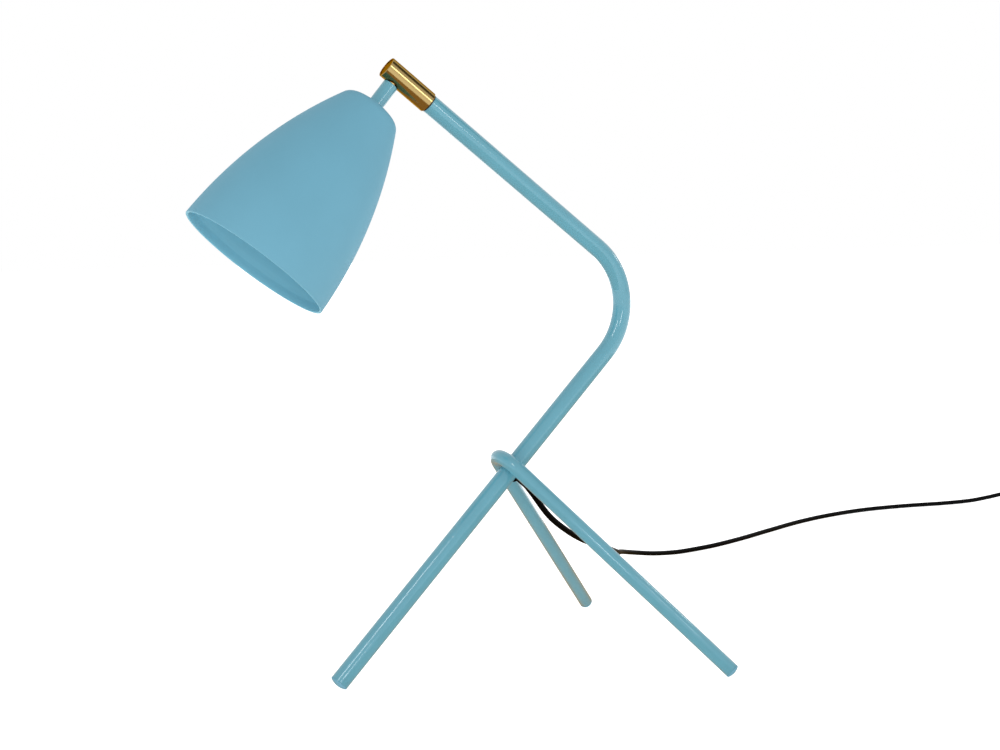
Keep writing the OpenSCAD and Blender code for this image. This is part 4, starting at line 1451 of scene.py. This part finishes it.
@dataclass
class Shade:
    """The spun shade: a flank of one arc, a tight shoulder and a low conical crown.

    Attributes:
        layout: The lamp's shared sizes.
        mouth_r: Radius of the mouth.
        length: Length of the shade.
        draft: Draft of the flank at the mouth, in degrees.
        shoulder_r: Radius of the shoulder.
        crown_r: Radius of the crown, inside its shoulder.
        crown_fall: How steeply the crown falls away from the stem, in degrees.
        flat_r: Radius of the flat in the middle of the crown.
        flat_blend: How far each way the flat and the crown blend into one another.
        wall: The sheet's thickness.
        hem_run: How far above the mouth the folded and filled hem dies away.
        hole_r: Radius of the hole in the crown.
    """

    layout: Layout
    mouth_r: float = 64.5
    length: float = 162.5
    draft: float = 1.5
    shoulder_r: float = 10.0
    crown_r: float = 20.5
    crown_fall: float = 18.5
    flat_r: float = 10.0
    flat_blend: float = 3.0
    wall: float = 1.0
    hem_run: float = 9.0
    hole_r: float = 5.1

    def outline(self, inset: float) -> list[tuple[float, float]]:
        """Half of the outline from the crown's hole to the mouth, drawn in by inset.

        Args:
            inset: Distance from the sheet's outside, in millimetres.

        Returns:
            Radius and height above the mouth of each point, in millimetres.
        """
        draft, fall = math.radians(self.draft), math.radians(self.crown_fall)
        square = Vector((math.sin(fall), math.cos(fall)))
        edge = Vector((self.crown_r, self.length - (self.crown_r - self.flat_r) * math.tan(fall)))
        shoulder = edge - self.shoulder_r * square
        high, run = shoulder.y, self.mouth_r - shoulder.x
        flank = (high**2 + run**2 - self.shoulder_r**2) / (
            2 * (run * math.cos(draft) - high * math.sin(draft) - self.shoulder_r)
        )
        centre = Vector((self.mouth_r - flank * math.cos(draft), -flank * math.sin(draft)))
        meet = math.atan2(high - centre.y, shoulder.x - centre.x)
        corner = Vector((self.flat_r - inset * math.tan(fall / 2), self.length - inset))
        down = Vector((math.cos(fall), -math.sin(fall)))
        before = corner - Vector((self.flat_blend, 0))
        after = corner + self.flat_blend * down
        soft = [tuple(before.lerp(corner, t).lerp(corner.lerp(after, t), t))
                for t in (k / 6 for k in range(7))]
        start = math.pi / 2 - fall
        shoulder_steps, flank_steps = 28, 72
        turn = [
            (shoulder.x + (self.shoulder_r - inset) * math.cos(a),
             shoulder.y + (self.shoulder_r - inset) * math.sin(a))
            for a in (start + (meet - start) * k / shoulder_steps
                      for k in range(shoulder_steps + 1))
        ]
        low = math.asin((0.5 * self.wall - centre.y) / (flank - inset))
        side = [
            (centre.x + (flank - inset) * math.cos(a), centre.y + (flank - inset) * math.sin(a))
            for a in (meet + (low - meet) * k / flank_steps for k in range(1, flank_steps + 1))
        ]
        return [(self.hole_r, self.length - inset), *soft, *turn, *side]

    def mark_inside(self, mesh: bpy.types.Mesh) -> None:
        """Sets the mesh's attribute "inside" to 1 on the faces that look at the axis, which take
        the painted-lighter inside colour.

        Args:
            mesh: The shade's mesh.
        """
        axis = self.layout.stem_dir
        top = self.layout.on_crown.translation
        marks = mesh.attributes.new("inside", "FLOAT", "FACE")
        crown_share, turned_in = 0.4, -0.1
        for face, mark in zip(mesh.polygons, marks.data):
            out = face.center / MM - top
            out -= out.dot(axis) * axis
            facing = out.normalized() + crown_share * axis
            mark.value = 1.0 if face.normal.dot(facing) < turned_in else 0.0

    def build(self) -> None:
        """Makes the shade with its folded hem and rounded lip."""
        outer = self.outline(0)
        inner = self.outline(self.wall)
        lip_r, lip_z = outer[-1]
        fold = self.wall
        lip = [
            (lip_r - fold + fold * math.cos(a), lip_z + fold * math.sin(a) * 0.5)
            for a in (-math.pi * k / 12 for k in range(1, 12))
        ]
        above = [p for p in inner if p[1] > self.hem_run + 0.5]
        edge_r = inner[-1][0]
        hem = [(edge_r - fold * (0.5 + 0.5 * math.cos(math.pi * k / 10)),
                0.6 + (self.hem_run - 0.6) * k / 10) for k in range(10)]
        loop = [*outer, *lip, *hem, *reversed(above)]
        place = self.layout.on_crown @ Matrix.Translation((0, 0, -self.length))
        shell = revolve("shade_spun", loop, SHADE_COAT, place, True, 144)
        self.mark_inside(shell.data)
        settle(shell, Body.HEAD, SHADE_COAT, "shade")


@dataclass
class Lampholder:
    """The lampholder's grip ribs, and the thread of its shell.

    Attributes:
        layout: The lamp's shared sizes.
        radius: Radius of the lampholder.
        cap_from: Where its cap starts below the crown.
        ribs_from: Where the ribs start below the cap's top, and rib_len their length.
        rib_count: How many ribs it has.
        rib_proud: How far a rib stands out, rib_sunk how far it reaches in.
        rib_wide: Width of a rib.
        shell_from: Where its threaded shell starts, and shell_h the shell's height.
        shell_r: Radius of that shell outside, over its crests.
        shell_wall: Thickness of its sheet.
        pitch: Pitch of the thread, and depth its depth.
        run_out: Height over which the thread dies away at each end.
    """

    layout: Layout
    radius: float = 13.5
    cap_from: float = 6.22
    ribs_from: float = 10.2
    rib_len: float = 6.5
    rib_count: int = 36
    rib_proud: float = 0.45
    rib_sunk: float = 0.25
    rib_wide: float = 0.9
    shell_from: float = 30.22
    shell_h: float = 17.0
    shell_r: float = 7.5
    shell_wall: float = 0.35
    pitch: float = 2.82
    depth: float = 0.45
    run_out: float = 2.5

    def ring(self, radius: float, z: float, sides: int = 48) -> list[Vector]:
        """One ring of the threaded shell.

        Args:
            radius: Radius of the thread's crests.
            z: Where the ring is below the crown.
            sides: Points in the ring.

        Returns:
            The ring's points, in millimetres.
        """
        low, high = self.shell_from, self.shell_from + self.shell_h
        fade = max(min((z - low) / self.run_out, (high - z) / self.run_out, 1), 0)
        points = []
        for k in range(sides):
            turn = k / sides
            wave = 0.5 - 0.5 * math.cos(math.tau * (z / self.pitch - turn))
            r = radius - self.depth * fade * wave
            angle = math.tau * turn
            points.append(Vector((r * math.cos(angle), r * math.sin(angle), z)))
        return points

    def threaded_shell(self) -> bpy.types.Object:
        """Makes the rolled shell with its screw thread.

        Returns:
            The shell.
        """
        steps = 64
        heights = [self.shell_from + self.shell_h * k / steps for k in range(steps + 1)]
        rows = [self.ring(self.shell_r, z) for z in heights]
        rows += [self.ring(self.shell_r - self.shell_wall, z) for z in reversed(heights)]
        return grid_object("holder_threaded_shell", rows, TURNED_BRASS, self.layout.below_crown)

    def ribs(self) -> bpy.types.Object:
        """Makes the ring of grip ribs round the lampholder's cap.

        Returns:
            The ribs, as one piece.
        """
        sunk, proud, half = -self.rib_sunk, self.rib_proud, self.rib_wide / 2
        rib = rounded([(sunk, -half, 0), (proud, -half, 0.35), (proud, half, 0.35),
                       (sunk, half, 0)], 3)
        top = self.cap_from + self.ribs_from
        bottom = top + self.rib_len
        verts = [(x * MM, y * MM, z * MM) for z in (top, bottom) for x, y in rib]
        count = len(rib)
        faces = [(k, (k + 1) % count, count + (k + 1) % count, count + k) for k in range(count)]
        faces += [tuple(reversed(range(count))), tuple(range(count, 2 * count))]
        mesh = bpy.data.meshes.new("holder_rib")
        mesh.from_pydata(verts, [], faces)
        base = new_object("holder_rib", mesh)
        Tree.RIB_RING.apply(base, self.rib_count, self.radius * MM, PHENOLIC)
        return baked(base, "holder_grip_ribs", self.layout.below_crown)

    def build(self) -> None:
        """Makes the ribs and the threaded shell."""
        settle(self.ribs(), Body.HEAD, PHENOLIC)
        settle(self.threaded_shell(), Body.HEAD, TURNED_BRASS, "holder_shell")


# ------------------------------------------------------------------ studio


@dataclass
class Studio:
    """The floor, the light and the camera.

    Attributes:
        ambient: How bright the world is for what it lights; it is seen as white.
        floor_light: What the lit table adds to the light from below.
        floor_glow: What is added to the floor where it is seen.
        floor_size: Length of the floor's sides, and floor_z its height, both in metres.
        eye: Where the camera is, in millimetres.
        yaw: Which way it looks, in degrees from +Y towards +X.
        pitch: How far it looks down, in degrees.
        roll: How far it leans, in degrees.
        lens: Its focal length, for a sensor 36 mm wide.
        shift: The shift that frames the photograph.
    """

    ambient: float = 0.57
    floor_light: float = 0.45
    floor_glow: float = 0.50
    floor_size: float = 28.0
    floor_z: float = -0.0002
    eye: tuple[float, float, float] = (-464.375, -1136.03, 380.806)
    yaw: float = 26.887
    pitch: float = 7.022
    roll: float = -0.908
    lens: float = 52.686
    shift: tuple[float, float] = (-0.06241, 0.02918)

    @staticmethod
    def seen(kit: NodeKit) -> Sock:
        """1 for a ray that shows the background: a camera, glossy or transmission ray.

        Args:
            kit: Adds nodes to the tree.

        Returns:
            1 for such a ray and 0 for any other.
        """
        rays = kit.node("ShaderNodeLightPath", output="Is Camera Ray")
        mirrored = kit.maths("MAXIMUM", rays, rays["Is Glossy Ray"])
        return kit.maths("MAXIMUM", mirrored, rays["Is Transmission Ray"])

    def world(self) -> None:
        """Lights the scene evenly and shows white behind it."""
        made, kit = blank(bpy.data.worlds, "studio")
        strength = self.ambient + self.seen(kit) * (1 - self.ambient)
        light = kit.node(
            "ShaderNodeBackground", inputs={"Color": (1, 1, 1, 1), "Strength": strength}
        )
        kit.node("ShaderNodeOutputWorld", inputs={"Surface": light})
        bpy.context.scene.world = made

    @staticmethod
    def card(
        name: str, size: tuple[float, float], finish: bpy.types.Material
    ) -> bpy.types.Object:
        """Makes a flat card in the table's plane.

        Args:
            name: The card's name.
            size: Its width and height, in metres.
            finish: What it is finished in.

        Returns:
            The card.
        """
        wide, high = size[0] / 2, size[1] / 2
        mesh = bpy.data.meshes.new(name)
        mesh.from_pydata(
            [(-wide, -high, 0), (wide, -high, 0), (wide, high, 0), (-wide, high, 0)],
            [], [(0, 1, 2, 3)],
        )
        mesh.materials.append(finish)
        return new_object(name, mesh)

    def floor(self) -> None:
        """Lays a pale floor that keeps the lamp's soft shadow."""
        finish, kit = blank(bpy.data.materials, "studio_floor")
        place = kit.node("ShaderNodeTexCoord", output="Object")
        paper = kit.blend(kit.noise(place, 3, 2), (0.90, 0.90, 0.90, 1), (0.92, 0.92, 0.92, 1))
        matt = kit.node("ShaderNodeBsdfDiffuse", inputs={"Color": paper})
        glow = kit.node(
            "ShaderNodeEmission",
            inputs={"Strength": self.floor_light + self.seen(kit) * self.floor_glow},
        )
        both = kit.node("ShaderNodeAddShader", inputs={0: matt, 1: glow})
        kit.node("ShaderNodeOutputMaterial", inputs={"Surface": both})
        ground = self.card("studio_floor", (self.floor_size, self.floor_size), finish)
        ground.location.z = self.floor_z

    def flag(
        self, name: str, at: Sequence[float], size: tuple[float, float], colour: Colour,
        aim: Sequence[float] = (0.0, 0.0, 0.5),
    ) -> None:
        """Hangs a glowing card that only reflections see, a painted reflection, so that they
        aren't white all over.

        Args:
            name: The card's name.
            at: Its middle, in metres.
            size: Its width and height, in metres.
            colour: Its screen colour.
            aim: The point that it faces, in metres.
        """
        paint, kit = blank(bpy.data.materials, name)
        glow = kit.node(
            "ShaderNodeEmission", inputs={"Color": linear(colour), "Strength": 1.0}
        )
        kit.node("ShaderNodeOutputMaterial", inputs={"Surface": glow})
        card = self.card(name, size, paint)
        card.location = at
        card.rotation_euler = (Vector(aim) - Vector(at)).to_track_quat("Z", "Y").to_euler()
        card.visible_camera = card.visible_diffuse = card.visible_shadow = False
        card.visible_transmission = card.visible_volume_scatter = False

    @staticmethod
    def lamp(
        name: str, at: Sequence[float], size: tuple[float, float], power: float,
        aim: Sequence[float] = (0.0, 0.0, 0.25),
    ) -> None:
        """Hangs a soft light that faces the lamp.

        Args:
            name: The light's name.
            at: Where it is, in metres.
            size: Its width and height, in metres.
            power: Its power in watts.
            aim: The point that it faces, in metres.
        """
        data = bpy.data.lights.new(name, "AREA")
        data.shape = "RECTANGLE"
        data.size, data.size_y = size
        data.energy = power
        made = new_object(name, data)
        away = Vector(at) - Vector(aim)
        made.location = at
        made.rotation_euler = away.to_track_quat("Z", "Y").to_euler()
        made.visible_camera = False

    def camera(self) -> None:
        """Puts the camera where the photograph was taken from."""
        yaw, pitch, roll = (math.radians(a) for a in (self.yaw, self.pitch, self.roll))
        ahead = Vector((math.sin(yaw) * math.cos(pitch), math.cos(yaw) * math.cos(pitch),
                        -math.sin(pitch)))
        right = Vector((math.cos(yaw), -math.sin(yaw), 0))
        up = right.cross(ahead)
        level = right * math.cos(roll) + up * math.sin(roll)
        upright = up * math.cos(roll) - right * math.sin(roll)
        data = bpy.data.cameras.new("photo_camera")
        data.lens = self.lens
        data.sensor_width = 36.0
        data.shift_x, data.shift_y = self.shift
        data.clip_start = 0.05
        made = new_object("photo_camera", data)
        turned = Matrix((level, upright, -ahead)).transposed().to_4x4()
        made.matrix_world = Matrix.Translation(Vector(self.eye) * MM) @ turned
        bpy.context.scene.camera = made

    def build(self) -> None:
        """Sets up the floor, the lights and the camera."""
        self.world()
        self.floor()
        # painted reflections: an amber card on the table and a dim card high on the right, seen
        # only in reflections of the brass and the paint
        self.flag("table_flag", (0.0, 0.0, -0.0001), (1.4, 1.4), (0.74, 0.60, 0.38))
        self.flag("high_flag", (1.08, -0.42, 1.38), (0.80, 0.40), (0.36, 0.34, 0.27))
        self.lamp("key", (-1.18, -1.02, 1.13), (0.25, 0.62), 4.3)
        self.lamp("front", (-1.43, -5.23, 0.90), (0.60, 0.90), 16.0)
        self.lamp("right", (0.70, -1.74, 0.70), (0.20, 0.45), 1.8)
        self.lamp("side", (1.9, -0.1, 0.9), (0.16, 0.30), 1.4)
        self.camera()
        bpy.context.scene.view_settings.view_transform = "Standard"


def clear_defaults() -> None:
    """Removes what an empty file starts with."""
    ours = set(frame["nodes"].values()) | set(frame["bodies"].values())
    for thing in [o for o in bpy.data.objects if o not in ours]:
        bpy.data.objects.remove(thing)


def dress_nodes() -> None:
    """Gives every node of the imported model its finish."""
    for name, node in frame["nodes"].items():
        finish = NODE_FINISHES[name]
        for place in node.material_slots:
            place.material = finish.material()
        LOG.info("%s is finished in %s", name, finish.name)


def corners(box: tuple[Vector, Vector]) -> list[list[float]]:
    """A box's two corners as plain numbers."""
    return [[float(c) for c in corner] for corner in box]


def main() -> None:
    """Builds the studio, the cords and the lamp."""
    logging.basicConfig(level=logging.INFO, format="%(name)s: %(message)s")
    clear_defaults()
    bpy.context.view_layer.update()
    Studio().build()
    dress_nodes()
    Cords().build()
    layout = Layout()
    for part in (Stand(layout), Shade(layout), Lampholder(layout)):
        part.build()
    bpy.context.view_layer.update()


if __name__ == "__main__":
    main()
